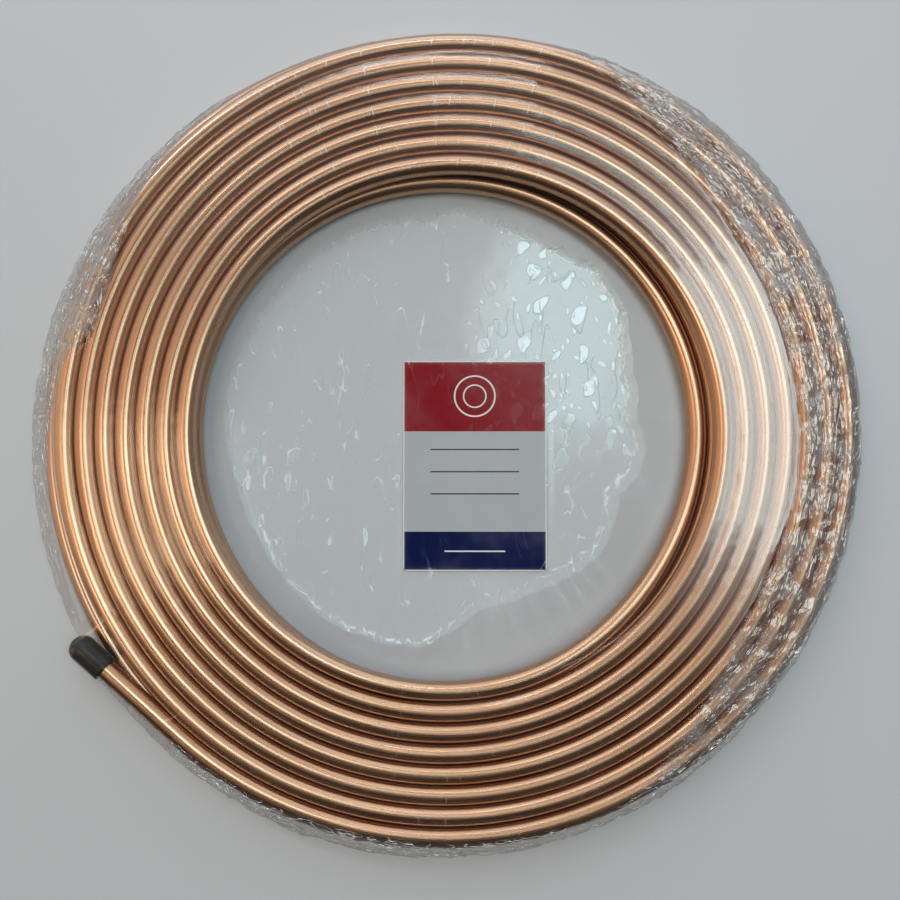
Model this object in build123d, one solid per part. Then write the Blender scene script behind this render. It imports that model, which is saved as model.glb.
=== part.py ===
from build123d import *
import os
from math import cos, hypot, pi, radians, sin, tan

# A flat two-layer coil of soft copper tube, 3/8 inch by 15 metres, wrapped in clear film with a
# label card in its eye and a rubber cap pushed over the free end. Millimetres, +Z up. The origin
# lies on the face that rests on the floor, under the middle of the coil.
#
# The upper layer is wound inwards and the lower layer outwards, both anticlockwise seen from
# above. Each layer is turned in two halves, about axes a quarter pitch to either side of the
# middle, so that every half turn runs on into the next one. Each turn has eight flats round its
# tube, and meets the turns beside it in a groove. Back is +Y and front is -Y. Angles are in
# degrees, anticlockwise from +X.

# Tube
tube_od = 9.525
tube_wall = 0.81

# Winding
pitch = 9.8  # from one turn to the next
upper_back_radius = 187.8  # middle of the outermost upper turn, straight back
upper_turns = 7
lower_back_radius = 123.5  # middle of the innermost lower turn, straight back
lower_turns = 8
tail_angle = 228.0  # the free end leaves the upper layer here
crossing_angle = 285.0  # the innermost upper turn starts down to the lower layer here
crossing_bow = 1.2  # how far it swings inwards on the way down
lower_end_angle = 236.0  # the lower layer ends here

# Free ends
tail_length = 58.0
tail_rise = 1.2  # the free end lifts off the lower layer by this
lower_bore_depth = 25.0

# Cap
cap_wall = 1.4
cap_clearance = 0.15
cap_grip = 14.5  # how far the tube goes in
cap_lip = 0.5  # bevel of its mouth
dome_steps = 3  # bevels that round its dome

# Film
film_thickness = 0.4
film_clearance = 0.3  # above and below the tube and the cap
film_slack = 0.5  # round the outside of them
rim_place = (-5.0, -5.0)  # middle of its rim, drawn over towards the cap
shoulder_bevel = 3.0  # of its edge over the outermost turn
eye_place = (0.0, 2.0)  # middle of its eye
eye_margin = 1.0  # from the middle of the innermost turn in to the top of its eye
eye_slope = 21.5  # from the top of its eye in to the floor
tent_bevel = 4.0  # of its tent's edge beyond the tip of the cap

# Label card
card_width = 71.0
card_length = 104.0
card_thickness = 0.3
card_corner = 2.0
card_place = (13.0, -16.5)
pocket_clearance = 0.1
pocket_seam = 1.0  # width of the film's seam round the card

tube_radius = tube_od / 2
tube_flat = tube_radius * tan(pi / 8)  # half the width of each of the eight flats
bore_radius = tube_radius - tube_wall
lower_z = film_thickness + film_clearance + tube_radius
upper_z = lower_z + tube_od
cap_inside = tube_radius + cap_clearance
cap_outside = cap_inside + cap_wall
crest_z = upper_z + tube_radius + film_clearance + film_thickness
tent_z = upper_z + tail_rise + cap_outside + film_clearance + film_thickness
half_shift = pitch / 4
upper_front_radius = upper_back_radius + pitch / 2
lower_front_radius = lower_back_radius + pitch / 2
outermost_radius = max(upper_front_radius, lower_back_radius + (lower_turns - 1) * pitch)
innermost_radius = min(lower_back_radius, upper_front_radius - upper_turns * pitch)
eye_radius = innermost_radius - eye_margin
eye_floor_radius = eye_radius - eye_slope


def radial_plane(axis_x, angle):
    """Upright plane through the turning axis at (axis_x, 0): its x runs outwards, its y upwards."""
    turn = radians(angle)
    return Plane((axis_x, 0, 0), x_dir=(cos(turn), sin(turn), 0), z_dir=(sin(turn), -cos(turn), 0))


def row_section(radii, centre_z, side):
    """Section of turns lying side by side, grooved above (side 1) or below (side -1)."""
    closed_z, crown_z = centre_z - side * tube_radius, centre_z + side * tube_radius
    wall_foot, wall_top = centre_z - side * tube_flat, centre_z + side * tube_flat
    groove_z = crown_z - side * (pitch / 2 - tube_flat)
    inner, outer = min(radii), max(radii)
    points = [
        (outer + tube_flat, closed_z),
        (outer + tube_radius, wall_foot),
        (outer + tube_radius, wall_top),
    ]
    for radius in sorted(radii, reverse=True):
        if radius < outer:
            points.append((radius + pitch / 2, groove_z))
        points += [(radius + tube_flat, crown_z), (radius - tube_flat, crown_z)]
    points += [
        (inner - tube_radius, wall_top),
        (inner - tube_radius, wall_foot),
        (inner - tube_flat, closed_z),
    ]
    return make_face(Polyline(*points, close=True))


def strip_section(radius, neighbour, centre_z, side):
    """Section of one more turn beside a row, reaching into its outermost or innermost turn."""
    away = 1 if radius > neighbour else -1
    closed_z, crown_z = centre_z - side * tube_radius, centre_z + side * tube_radius
    wall_foot, wall_top = centre_z - side * tube_flat, centre_z + side * tube_flat
    groove_z = crown_z - side * (pitch / 2 - tube_flat)
    points = [
        (radius + away * tube_flat, closed_z),
        (radius + away * tube_radius, wall_foot),
        (radius + away * tube_radius, wall_top),
        (radius + away * tube_flat, crown_z),
        (radius - away * tube_flat, crown_z),
        (radius - away * pitch / 2, groove_z),
        (neighbour, groove_z),
        (neighbour, closed_z),
    ]
    return make_face(Polyline(*points, close=True))


def turned(section, axis_x, start, end):
    """A section turned from one angle to another about the upright axis at (axis_x, 0)."""
    placed = radial_plane(axis_x, start) * section
    return revolve(placed, Axis((axis_x, 0, 0), (0, 0, 1)), revolution_arc=end - start)


def upper_layer():
    """The upper turns: the outermost starts at the tail, the innermost ends at the crossing."""
    back = [upper_back_radius - n * pitch for n in range(upper_turns)]
    front = [upper_front_radius - n * pitch for n in range(upper_turns + 1)]
    return (
        turned(row_section(back, upper_z, 1), half_shift, 0, 180)
        + turned(row_section(front[1:-1], upper_z, 1), -half_shift, 180, 360)
        + turned(strip_section(front[0], front[1], upper_z, 1), -half_shift, tail_angle, 360)
        + turned(strip_section(front[-1], front[-2], upper_z, 1), -half_shift, 180, crossing_angle)
    )


def lower_layer():
    """The lower turns, with the bore of the tube in the end of the outermost."""
    back = [lower_back_radius + n * pitch for n in range(lower_turns)]
    front = [lower_front_radius + n * pitch for n in range(lower_turns)]
    layer = (
        turned(row_section(back, lower_z, -1), -half_shift, 0, 180)
        + turned(row_section(front[:-1], lower_z, -1), half_shift, 180, 360)
        + turned(strip_section(front[-1], front[-2], lower_z, -1), half_shift, 180, lower_end_angle)
    )
    bore_sweep = lower_bore_depth / front[-1] * 180 / pi
    bore = Pos(front[-1], lower_z) * Circle(bore_radius)
    return layer - turned(bore, half_shift, lower_end_angle - bore_sweep, lower_end_angle)


def crossing():
    """The tube's way down from the innermost upper turn to the innermost lower turn."""
    start_radius = upper_front_radius - upper_turns * pitch
    end_radius = lower_back_radius
    points = []
    for step in range(5):
        way = step / 4
        eased = way * way * (3 - 2 * way)
        turn = radians(crossing_angle + way * (360 - crossing_angle))
        radius = start_radius + way * (end_radius - start_radius) - crossing_bow * sin(pi * way)
        height = upper_z + eased * (lower_z - upper_z)
        points.append((radius * cos(turn) - half_shift, radius * sin(turn), height))
    start_turn = radians(crossing_angle)
    start_way = (-sin(start_turn), cos(start_turn), 0)
    path = Spline(*points, tangents=[start_way, (0, 1, 0)])
    upright = Plane(points[0], x_dir=(cos(start_turn), sin(start_turn), 0), z_dir=start_way)
    flats = RegularPolygon(tube_radius, 8, major_radius=False, rotation=180 / 8)
    return sweep(upright * flats, path, normal=(0, 0, 1))


def tail_line():
    """Root of the free end, in the end face of the outermost turn, and the way to its tip."""
    turn = radians(tail_angle)
    root = Vector(upper_front_radius * cos(turn) - half_shift, upper_front_radius * sin(turn), upper_z)
    return root, Vector(sin(turn), -cos(turn), 0) * tail_length + Vector(0, 0, tail_rise)


def tail():
    """The free end of the tube, open at its tip."""
    root, way = tail_line()
    ring = Circle(tube_radius) - Circle(bore_radius)
    return extrude(Plane(root, z_dir=(way.X, way.Y, 0)) * ring, way.length, dir=way)


def tube_coil():
    """The whole tube."""
    return upper_layer() + lower_layer() + crossing() + tail()


def end_cap():
    """Domed cap over the free end, turned from its section."""
    root, way = tail_line()
    profile = [(cap_inside, -cap_grip), (cap_outside - cap_lip, -cap_grip), (cap_outside, cap_lip - cap_grip)]
    for step in range(dome_steps + 1):
        rise = radians(step * 90 / (dome_steps + 0.5))
        profile.append((cap_outside * cos(rise), cap_outside * sin(rise)))
    profile += [(0, profile[-1][1]), (0, 0), (cap_inside, 0)]
    cap = revolve(Plane.XZ * make_face(Polyline(*profile, close=True)), Axis.Z)
    return Plane(root + way + way.normalized() * cap_clearance, z_dir=way) * cap


def film_reach():
    """How far the turns and the cap reach from the middle of the film's rim."""
    middle = Vector(*rim_place)
    turns = (middle - Vector(-half_shift, 0)).length + outermost_radius + tube_radius
    root, way = tail_line()
    tip = root + way - middle
    return max(turns, hypot(tip.X, tip.Y) + cap_clearance + cap_outside)


def level_circle(place, radius, height):
    """Round face lying level about a place."""
    return Pos(place[0], place[1], height) * Circle(radius)


def eye_circle(height, inset):
    """The film's eye at a height, widened by an inset of the film's sloping side."""
    lean = eye_slope / crest_z
    return level_circle(eye_place, eye_floor_radius + lean * height + inset * hypot(1, lean), height)


def film_ring(inset):
    """The film's closed ring from its rim up round the coil and down into its eye, drawn in."""
    low, high = inset, crest_z - inset
    edge = outermost_radius + tube_radius + film_slack + film_thickness - inset
    bevel = shoulder_bevel - inset * (2 - 2**0.5)
    rim = level_circle(rim_place, film_reach() + film_slack + film_thickness - inset, low)
    shoulder = level_circle((-half_shift, 0), edge, high - bevel)
    crest = level_circle((-half_shift, 0), edge - bevel, high)
    eye = loft([eye_circle(low, inset), eye_circle(high, inset)], ruled=True)
    return loft([rim, shoulder], ruled=True) + loft([shoulder, crest], ruled=True) - eye


def film_tent(inset):
    """The film's tent over the free end and its cap, drawn in."""
    root, way = tail_line()
    length = hypot(way.X, way.Y)
    tip = length + cap_clearance + cap_outside + film_clearance + film_thickness
    outline = Polyline(
        (0, 0),
        (tip, 0),
        (tip, tent_z - tent_bevel),
        (tip - tent_bevel, tent_z),
        (length - cap_grip, tent_z),
        (0, crest_z),
        close=True,
    )
    upright = Plane((root.X, root.Y, 0), x_dir=(way.X, way.Y, 0), z_dir=(way.Y, -way.X, 0))
    half_width = cap_outside + film_clearance + film_thickness - inset
    tent = extrude(upright * offset(make_face(outline), -inset, kind=Kind.INTERSECTION), half_width, both=True)
    reach = film_reach() + film_clearance + film_thickness - inset
    return tent & extrude(level_circle(rim_place, reach, 0), tent_z)


def card_blank(margin):
    """The label card's outline with a margin all round, lying on Z = 0."""
    outline = RectangleRounded(card_width + 2 * margin, card_length + 2 * margin, card_corner + margin)
    return Pos(*card_place) * outline


def film_wrap():
    """Clear film: a flat bag round the coil, with both sheets together in its eye."""
    outside = film_ring(0) + film_tent(0)
    inside = film_ring(film_thickness) + film_tent(film_thickness)
    web = extrude(level_circle(eye_place, eye_floor_radius + film_thickness, 0), 2 * film_thickness)
    pocket_height = card_thickness + 2 * pocket_clearance
    pad = extrude(card_blank(pocket_clearance + pocket_seam), pocket_height + 2 * film_thickness)
    pocket = Pos(0, 0, film_thickness) * extrude(card_blank(pocket_clearance), pocket_height)
    return outside - inside + web + pad - pocket


def label_card():
    """Printed card between the two sheets of film."""
    return Pos(0, 0, film_thickness + pocket_clearance) * extrude(card_blank(0), card_thickness)


os.makedirs("parts", exist_ok=True)
pieces = {
    "tube_coil": tube_coil(),
    "end_cap": end_cap(),
    "film_wrap": film_wrap(),
    "label_card": label_card(),
}
for name, piece in pieces.items():
    export_step(piece, f"parts/{name}.step")
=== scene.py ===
"""Looks of the copper tube coil in its clear film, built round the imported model.

Sizes in the classes are millimetres in the model's own frame, with its origin on the floor under
the middle of the coil. Angles are degrees anticlockwise from +X. Meshes are written in metres.
"""

import logging
import math
from dataclasses import dataclass
from enum import Enum
from typing import Any, Optional, Sequence

import bpy
import numpy as np
from mathutils import Matrix, Vector


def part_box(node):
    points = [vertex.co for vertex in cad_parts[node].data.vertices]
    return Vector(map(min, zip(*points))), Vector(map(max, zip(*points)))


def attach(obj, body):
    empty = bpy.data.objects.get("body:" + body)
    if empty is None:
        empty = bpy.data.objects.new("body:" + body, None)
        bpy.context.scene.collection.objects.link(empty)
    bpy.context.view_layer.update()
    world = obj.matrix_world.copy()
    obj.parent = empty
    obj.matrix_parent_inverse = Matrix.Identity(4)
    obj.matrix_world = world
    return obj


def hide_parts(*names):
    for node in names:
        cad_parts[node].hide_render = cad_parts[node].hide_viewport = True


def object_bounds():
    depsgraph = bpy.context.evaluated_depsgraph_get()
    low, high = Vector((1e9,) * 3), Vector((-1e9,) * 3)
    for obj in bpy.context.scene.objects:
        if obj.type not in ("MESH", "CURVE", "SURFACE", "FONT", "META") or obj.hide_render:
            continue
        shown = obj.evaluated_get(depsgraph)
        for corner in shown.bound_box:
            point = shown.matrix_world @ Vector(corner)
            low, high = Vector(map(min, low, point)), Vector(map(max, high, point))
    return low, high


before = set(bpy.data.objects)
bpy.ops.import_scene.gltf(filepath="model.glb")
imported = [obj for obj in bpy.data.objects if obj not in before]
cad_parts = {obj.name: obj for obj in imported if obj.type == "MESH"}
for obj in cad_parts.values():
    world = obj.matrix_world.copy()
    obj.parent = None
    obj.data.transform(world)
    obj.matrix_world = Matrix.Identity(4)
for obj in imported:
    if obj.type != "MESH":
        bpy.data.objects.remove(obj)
cad_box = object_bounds()

MM = 0.001
BODY = "root"
log = logging.getLogger("tube_coil")

Pairs = Sequence[tuple[float, float]]
Colour = tuple[float, float, float]
Place = tuple[float, float, float]
Piece = bpy.types.Object
Material = bpy.types.Material
Tree = bpy.types.NodeTree
Node = bpy.types.Node
Socket = bpy.types.NodeSocket


def smooth_step(low: float, high: float, value: np.ndarray) -> np.ndarray:
    """Ease from 0 at low to 1 at high.

    Args:
        low: Where the step starts; it may be larger than high for a falling step.
        high: Where the step ends.
        value: Values to ease.

    Returns:
        Eased values from 0 to 1.
    """
    way = np.clip((value - low) / (high - low), 0.0, 1.0)
    return way * way * (3 - 2 * way)


def round_the_circle(pairs: Pairs, degrees: np.ndarray) -> np.ndarray:
    """Read a value that is given at a few angles, all the way round.

    Args:
        pairs: Angle in degrees and the value there, in any turn of the circle.
        degrees: Angles to read it at.

    Returns:
        The values there, on straight lines between the given ones.
    """
    angles, values = np.array(pairs, float).T
    return np.interp(degrees, angles, values, period=360)


def lengths_along(points: np.ndarray) -> np.ndarray:
    """Distance along a line from its first point to each of its points."""
    return np.concatenate([[0], np.cumsum(np.linalg.norm(np.diff(points, axis=0), axis=1))])


def square_to(way: np.ndarray) -> tuple[np.ndarray, np.ndarray]:
    """Level and rising directions that are square to each way.

    Args:
        way: One way, or one to a row, of unit length.

    Returns:
        The level and the rising ones.
    """
    side = np.cross(way, (0, 0, 1.0))
    side /= np.linalg.norm(side, axis=-1, keepdims=True)
    return side, np.cross(side, way)


def round_section(sides: int) -> tuple[np.ndarray, np.ndarray]:
    """Cosines and sines of the points round a section, as columns."""
    turn = np.linspace(0, 2 * math.pi, sides, endpoint=False)
    return np.cos(turn)[:, None], np.sin(turn)[:, None]


class Grain:
    """Seeded smooth and creased noise over a plane."""

    SIZE = 256

    def __init__(self, seed: int) -> None:
        """Draw the tables that every reading uses.

        Args:
            seed: Seed of the draws.
        """
        draw = np.random.default_rng(seed)
        self.turn = draw.uniform(0, 2 * math.pi, (self.SIZE, self.SIZE))
        self.place = draw.uniform(0.1, 0.9, (2, self.SIZE, self.SIZE))
        self.tilt = draw.uniform(-1, 1, (2, self.SIZE, self.SIZE))
        self.lift = draw.uniform(-0.5, 0.5, (self.SIZE, self.SIZE))

    def smooth(self, x: np.ndarray, y: np.ndarray) -> np.ndarray:
        """Read smooth noise, about -0.7 to 0.7, with lumps about one unit across.

        Args:
            x: First coordinate, in units of a lump.
            y: Second coordinate.

        Returns:
            The noise at each point.
        """
        column, row = np.floor(x).astype(int), np.floor(y).astype(int)
        along, across = x - column, y - row
        ease_x = along**3 * (along * (along * 6 - 15) + 10)
        ease_y = across**3 * (across * (across * 6 - 15) + 10)
        corners = []
        for step_y in (0, 1):
            for step_x in (0, 1):
                turn = self.turn[(column + step_x) % self.SIZE, (row + step_y) % self.SIZE]
                corners.append(np.cos(turn) * (along - step_x) + np.sin(turn) * (across - step_y))
        low = corners[0] + ease_x * (corners[1] - corners[0])
        high = corners[2] + ease_x * (corners[3] - corners[2])
        return low + ease_y * (high - low)

    def ridges(self, x: np.ndarray, y: np.ndarray, sharpness: float = 4.0) -> np.ndarray:
        """Read thin curving ridges: 1 on their crests, falling quickly to 0 beside them."""
        return np.exp(-sharpness * np.abs(self.smooth(x, y)) / 0.15)

    def facets(self, x: np.ndarray, y: np.ndarray) -> np.ndarray:
        """Read a surface of tilted flat scales that meet in sharp creases, like crushed foil.

        Args:
            x: First coordinate, in units of a scale.
            y: Second coordinate.

        Returns:
            Height of the scales, about -1 to 1.
        """
        column, row = np.floor(x).astype(int), np.floor(y).astype(int)
        tallest = np.full(np.shape(x), -9.0)
        for step_x in (-1, 0, 1):
            for step_y in (-1, 0, 1):
                near_x, near_y = (column + step_x) % self.SIZE, (row + step_y) % self.SIZE
                along = x - (column + step_x + self.place[0, near_x, near_y])
                across = y - (row + step_y + self.place[1, near_x, near_y])
                height = self.lift[near_x, near_y] - (along**2 + across**2)
                height += self.tilt[0, near_x, near_y] * along + self.tilt[1, near_x, near_y] * across
                tallest = np.maximum(tallest, height)
        return tallest


class Shaping(Enum):
    """How light runs over the faces of a mesh."""

    SMOOTH = "smooth"
    FACETED = "faceted"


def mesh_piece(name: str, points: np.ndarray, faces: list, shaping: Shaping = Shaping.SMOOTH) -> Piece:
    """Make a mesh object from points in millimetres.

    Args:
        name: Name of the piece.
        points: One row for each point.
        faces: Point numbers of each face.
        shaping: Smooth or faceted shading.

    Returns:
        The object, linked to the scene.
    """
    mesh = bpy.data.meshes.new(name)
    mesh.from_pydata((np.asarray(points, float) * MM).tolist(), [], faces)
    mesh.validate()
    mesh.polygons.foreach_set("use_smooth", [shaping is Shaping.SMOOTH] * len(mesh.polygons))
    piece = bpy.data.objects.new(name, mesh)
    bpy.context.scene.collection.objects.link(piece)
    return piece


def set_values(piece: Piece, name: str, values: np.ndarray) -> None:
    """Store a number or a vector for each point of a piece, for its material to read.

    Args:
        piece: The piece.
        name: Name of the attribute.
        values: One number, or one row of three, for each point.
    """
    kind, key = ("FLOAT", "value") if values.ndim == 1 else ("FLOAT_VECTOR", "vector")
    store = piece.data.attributes.new(name, kind, "POINT")
    store.data.foreach_set(key, np.ascontiguousarray(values, np.float32).ravel())


def grid_faces(rows: int, columns: int) -> list:
    """List the four-sided faces of a grid that closes on itself across its columns.

    Args:
        rows: Rows of points.
        columns: Points in each row.

    Returns:
        Point numbers of each face.
    """
    return [
        (row * columns + column, row * columns + (column + 1) % columns,
         (row + 1) * columns + (column + 1) % columns, (row + 1) * columns + column)
        for row in range(rows - 1)
        for column in range(columns)
    ]


def report(piece: Piece) -> Piece:
    """Log a piece's size in triangles, and return it.

    Args:
        piece: The piece.

    Returns:
        The piece.
    """
    triangles = sum(len(face.vertices) - 2 for face in piece.data.polygons)
    log.info("%s: %d triangles", piece.name, triangles)
    return piece


class Graph:
    """Short hand for building one shader tree."""

    def __init__(self, tree: Tree) -> None:
        """Start on a tree with no nodes."""
        self.tree = tree
        tree.nodes.clear()

    def feed(self, node: Node, key: Any, value: Any) -> None:
        """Join a socket to an input of a node, or set that input to a plain value.

        Args:
            node: The node.
            key: Name or number of its input.
            value: Socket or value.
        """
        if isinstance(value, Socket):
            self.tree.links.new(value, node.inputs[key])
        else:
            node.inputs[key].default_value = value

    def add(self, kind: str, inputs: Optional[dict] = None, **settings: Any) -> Node:
        """Add a node.

        Args:
            kind: Blender's name for the node type.
            inputs: Sockets, by name or number, with a value or the socket that feeds each.
            **settings: Properties of the node.

        Returns:
            The node.
        """
        node = self.tree.nodes.new(kind)
        for key, value in settings.items():
            setattr(node, key, value)
        for key, value in (inputs or {}).items():
            self.feed(node, key, value)
        return node

    def group(self, tree: Tree, **inputs: Any) -> Node:
        """Place a node group with its inputs, spelt with underscores for spaces."""
        spelt = {key.replace("_", " "): value for key, value in inputs.items()}
        return self.add("ShaderNodeGroup", spelt, node_tree=tree)

    def sum(self, operation: str, first: Any, second: Any = 0.0, clamp: bool = False) -> Socket:
        """Work out one sum of two numbers or sockets, such as DIVIDE or MAXIMUM."""
        node = self.add("ShaderNodeMath", {0: first, 1: second}, operation=operation, use_clamp=clamp)
        return node.outputs[0]

    def plus(self, first: Any, second: Any, clamp: bool = False) -> Socket:
        """Add two numbers or sockets."""
        return self.sum("ADD", first, second, clamp)

    def minus(self, first: Any, second: Any) -> Socket:
        """Take the second number or socket from the first."""
        return self.sum("SUBTRACT", first, second)

    def times(self, first: Any, second: Any) -> Socket:
        """Multiply two numbers or sockets."""
        return self.sum("MULTIPLY", first, second)

    def between(self, value: Any, low: float, high: float, to: tuple[float, float] = (0.0, 1.0)) -> Socket:
        """Ease a value from one range to another.

        Args:
            value: Socket to read.
            low: Start of its range.
            high: End of its range.
            to: Range that it is eased to.

        Returns:
            The eased value.
        """
        ranges = {"Value": value, "From Min": low, "From Max": high, "To Min": to[0], "To Max": to[1]}
        return self.add("ShaderNodeMapRange", ranges, interpolation_type="SMOOTHSTEP").outputs["Result"]

    def mixed(self, share: Any, first: Any, second: Any) -> Socket:
        """Mix two colours by a share of the second.

        Args:
            share: Share of the second.
            first: Colour or socket.
            second: Colour or socket.

        Returns:
            The mixed colour.
        """
        node = self.add("ShaderNodeMix", {"Factor": share}, data_type="RGBA")
        for number, value in ((6, first), (7, second)):
            self.feed(node, number, value if isinstance(value, Socket) else (*value, 1.0))
        return node.outputs[2]

    def place(self) -> Socket:
        """Read the place on the object."""
        return self.add("ShaderNodeTexCoord").outputs["Object"]

    def attribute(self, name: str, output: str = "Fac") -> Socket:
        """Read what a mesh stores for its points."""
        return self.add("ShaderNodeAttribute", attribute_name=name).outputs[output]

    def parts(self, vector: Any) -> Sequence[Socket]:
        """Split a vector into its three numbers."""
        return self.add("ShaderNodeSeparateXYZ", {0: vector}).outputs

    def joined(self, x: Any, y: Any, z: Any = 0.0) -> Socket:
        """Make a vector of three numbers."""
        return self.add("ShaderNodeCombineXYZ", {0: x, 1: y, 2: z}).outputs[0]

    def stretched(self, vector: Any, scale: Place, shift: float = 0.0) -> Socket:
        """Scale a place by each of its three directions, and shift it to another part of a noise.

        Args:
            vector: Place to scale.
            scale: Scale of each direction.
            shift: Shift after it.

        Returns:
            The new place.
        """
        return self.add(
            "ShaderNodeMapping", {"Vector": vector, "Scale": scale, "Location": (shift,) * 3}
        ).outputs["Vector"]

    def noise(
        self, vector: Any, scale: Any, detail: float = 2.0, roughness: float = 0.5, flat: bool = False
    ) -> Socket:
        """Read Blender's noise.

        Args:
            vector: Place to read it at.
            scale: Lumps in a unit.
            detail: Octaves.
            roughness: Weight of each octave.
            flat: True to read it over a plane only.

        Returns:
            The noise, from 0 to 1.
        """
        inputs = {"Vector": vector, "Scale": scale, "Detail": detail, "Roughness": roughness}
        return self.add("ShaderNodeTexNoise", inputs, noise_dimensions="2D" if flat else "3D").outputs["Fac"]

    def cells(self, place: Any, scale: float, unevenness: float = 1.0) -> tuple[Node, Sequence[Socket]]:
        """Split a plane into cells.

        Args:
            place: Place to read them at.
            scale: Cells in a unit.
            unevenness: How far they are from a plain grid.

        Returns:
            The node, and three random numbers for each cell.
        """
        inputs = {"Vector": place, "Scale": scale, "Randomness": unevenness}
        node = self.add("ShaderNodeTexVoronoi", inputs, voronoi_dimensions="2D")
        return node, self.add("ShaderNodeSeparateColor", {0: node.outputs["Color"]}).outputs

    def bump(self, shader: Node, height: Any, distance: float, strength: float) -> None:
        """Give a shader relief.

        Args:
            shader: The shader.
            height: Socket with the height, 1 for the full distance.
            distance: Full height in metres.
            strength: Share of the relief that shows.
        """
        relief = self.add("ShaderNodeBump", {"Height": height, "Distance": distance, "Strength": strength})
        self.feed(shader, "Normal", relief.outputs[0])


def new_group(
    name: str, inputs: dict[str, tuple[str, Any]], outputs: dict[str, str]
) -> tuple[Graph, dict, Node]:
    """Start a shader node group.

    Args:
        name: Name of the group.
        inputs: Name of each input, with its kind and its usual value.
        outputs: Name of each output, with its kind.

    Returns:
        Its graph, its input sockets by name, and its output node.
    """
    tree = bpy.data.node_groups.new(name, "ShaderNodeTree")
    graph = Graph(tree)
    for key, (kind, value) in inputs.items():
        socket = tree.interface.new_socket(key, in_out="INPUT", socket_type="NodeSocket" + kind)
        if value is not None:
            socket.default_value = value
    for key, kind in outputs.items():
        tree.interface.new_socket(key, in_out="OUTPUT", socket_type="NodeSocket" + kind)
    start, end = graph.add("NodeGroupInput"), graph.add("NodeGroupOutput")
    return graph, {key: start.outputs[key] for key in inputs}, end


class Effects:
    """Shader node groups that more than one finish uses, each made once."""

    def __init__(self) -> None:
        """Make all of them."""
        self.streaks = self._streaks()
        self.smudges = self._smudges()
        self.creases = self._creases()

    @staticmethod
    def _streaks() -> Tree:
        """Fine parallel lines along a place's first direction, as drawing or moulding leaves.

        Returns:
            The group.
        """
        graph, given, end = new_group(
            "Fine streaks",
            {"Place": ("Vector", None), "Along": ("Float", 12.0), "Across": ("Float", 2200.0)},
            {"Value": "Float", "Broad": "Float"},
        )
        along, *across = graph.parts(given["Place"])
        sides = [graph.times(part, given["Across"]) for part in across]
        fine = graph.joined(graph.times(along, given["Along"]), *sides)
        graph.feed(end, "Value", graph.noise(fine, 1.0, roughness=0.6))
        graph.feed(end, "Broad", graph.noise(graph.stretched(fine, (0.5, 0.22, 0.22), 7.0), 1.0, detail=1.0))
        return graph.tree

    @staticmethod
    def _smudges() -> Tree:
        """Soft uneven patches with fine specks, as handling and dust leave.

        Returns:
            The group.
        """
        graph, given, end = new_group(
            "Smudges and dust",
            {"Place": ("Vector", None), "Patch scale": ("Float", 20.0), "Speck scale": ("Float", 900.0)},
            {"Patches": "Float", "Specks": "Float"},
        )
        cloudy = graph.noise(given["Place"], given["Patch scale"], detail=3.0, roughness=0.62)
        specks = graph.noise(given["Place"], given["Speck scale"], detail=1.0)
        graph.feed(end, "Patches", graph.between(cloudy, 0.38, 0.72))
        graph.feed(end, "Specks", graph.between(specks, 0.70, 0.76))
        return graph.tree

    @staticmethod
    def _creases() -> Tree:
        """Thin curling lines over a flat place, as crushed sheet has.

        Returns:
            The group.
        """
        graph, given, end = new_group(
            "Crease lines",
            {"Place": ("Vector", None), "Scale": ("Float", 90.0), "Width": ("Float", 0.02)},
            {"Lines": "Float", "Height": "Float"},
        )
        curling = graph.noise(given["Place"], given["Scale"], detail=1.5, flat=True)
        away = graph.sum("ABSOLUTE", graph.minus(curling, 0.5))
        lines = graph.minus(1.0, graph.sum("DIVIDE", away, given["Width"], clamp=True))
        graph.feed(end, "Lines", lines)
        graph.feed(end, "Height", graph.plus(lines, curling))
        return graph.tree


def new_material(name: str, lets_lamps_through: bool = False) -> tuple[Material, Graph, Node]:
    """Start a material with a Principled shader joined to its output.

    Args:
        name: Name of the material.
        lets_lamps_through: True for a clear sheet that casts no shadow.

    Returns:
        The material, its graph and the shader node.
    """
    material = bpy.data.materials.new(name)
    material.use_nodes = True
    graph = Graph(material.node_tree)
    shader = graph.add("ShaderNodeBsdfPrincipled")
    surface = shader.outputs[0]
    if lets_lamps_through:
        clear = graph.add("ShaderNodeBsdfTransparent").outputs[0]
        from_lamp = graph.add("ShaderNodeLightPath").outputs["Is Shadow Ray"]
        surface = graph.add("ShaderNodeMixShader", {0: from_lamp, 1: surface, 2: clear}).outputs[0]
    graph.add("ShaderNodeOutputMaterial", {"Surface": surface})
    return material, graph, shader


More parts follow.
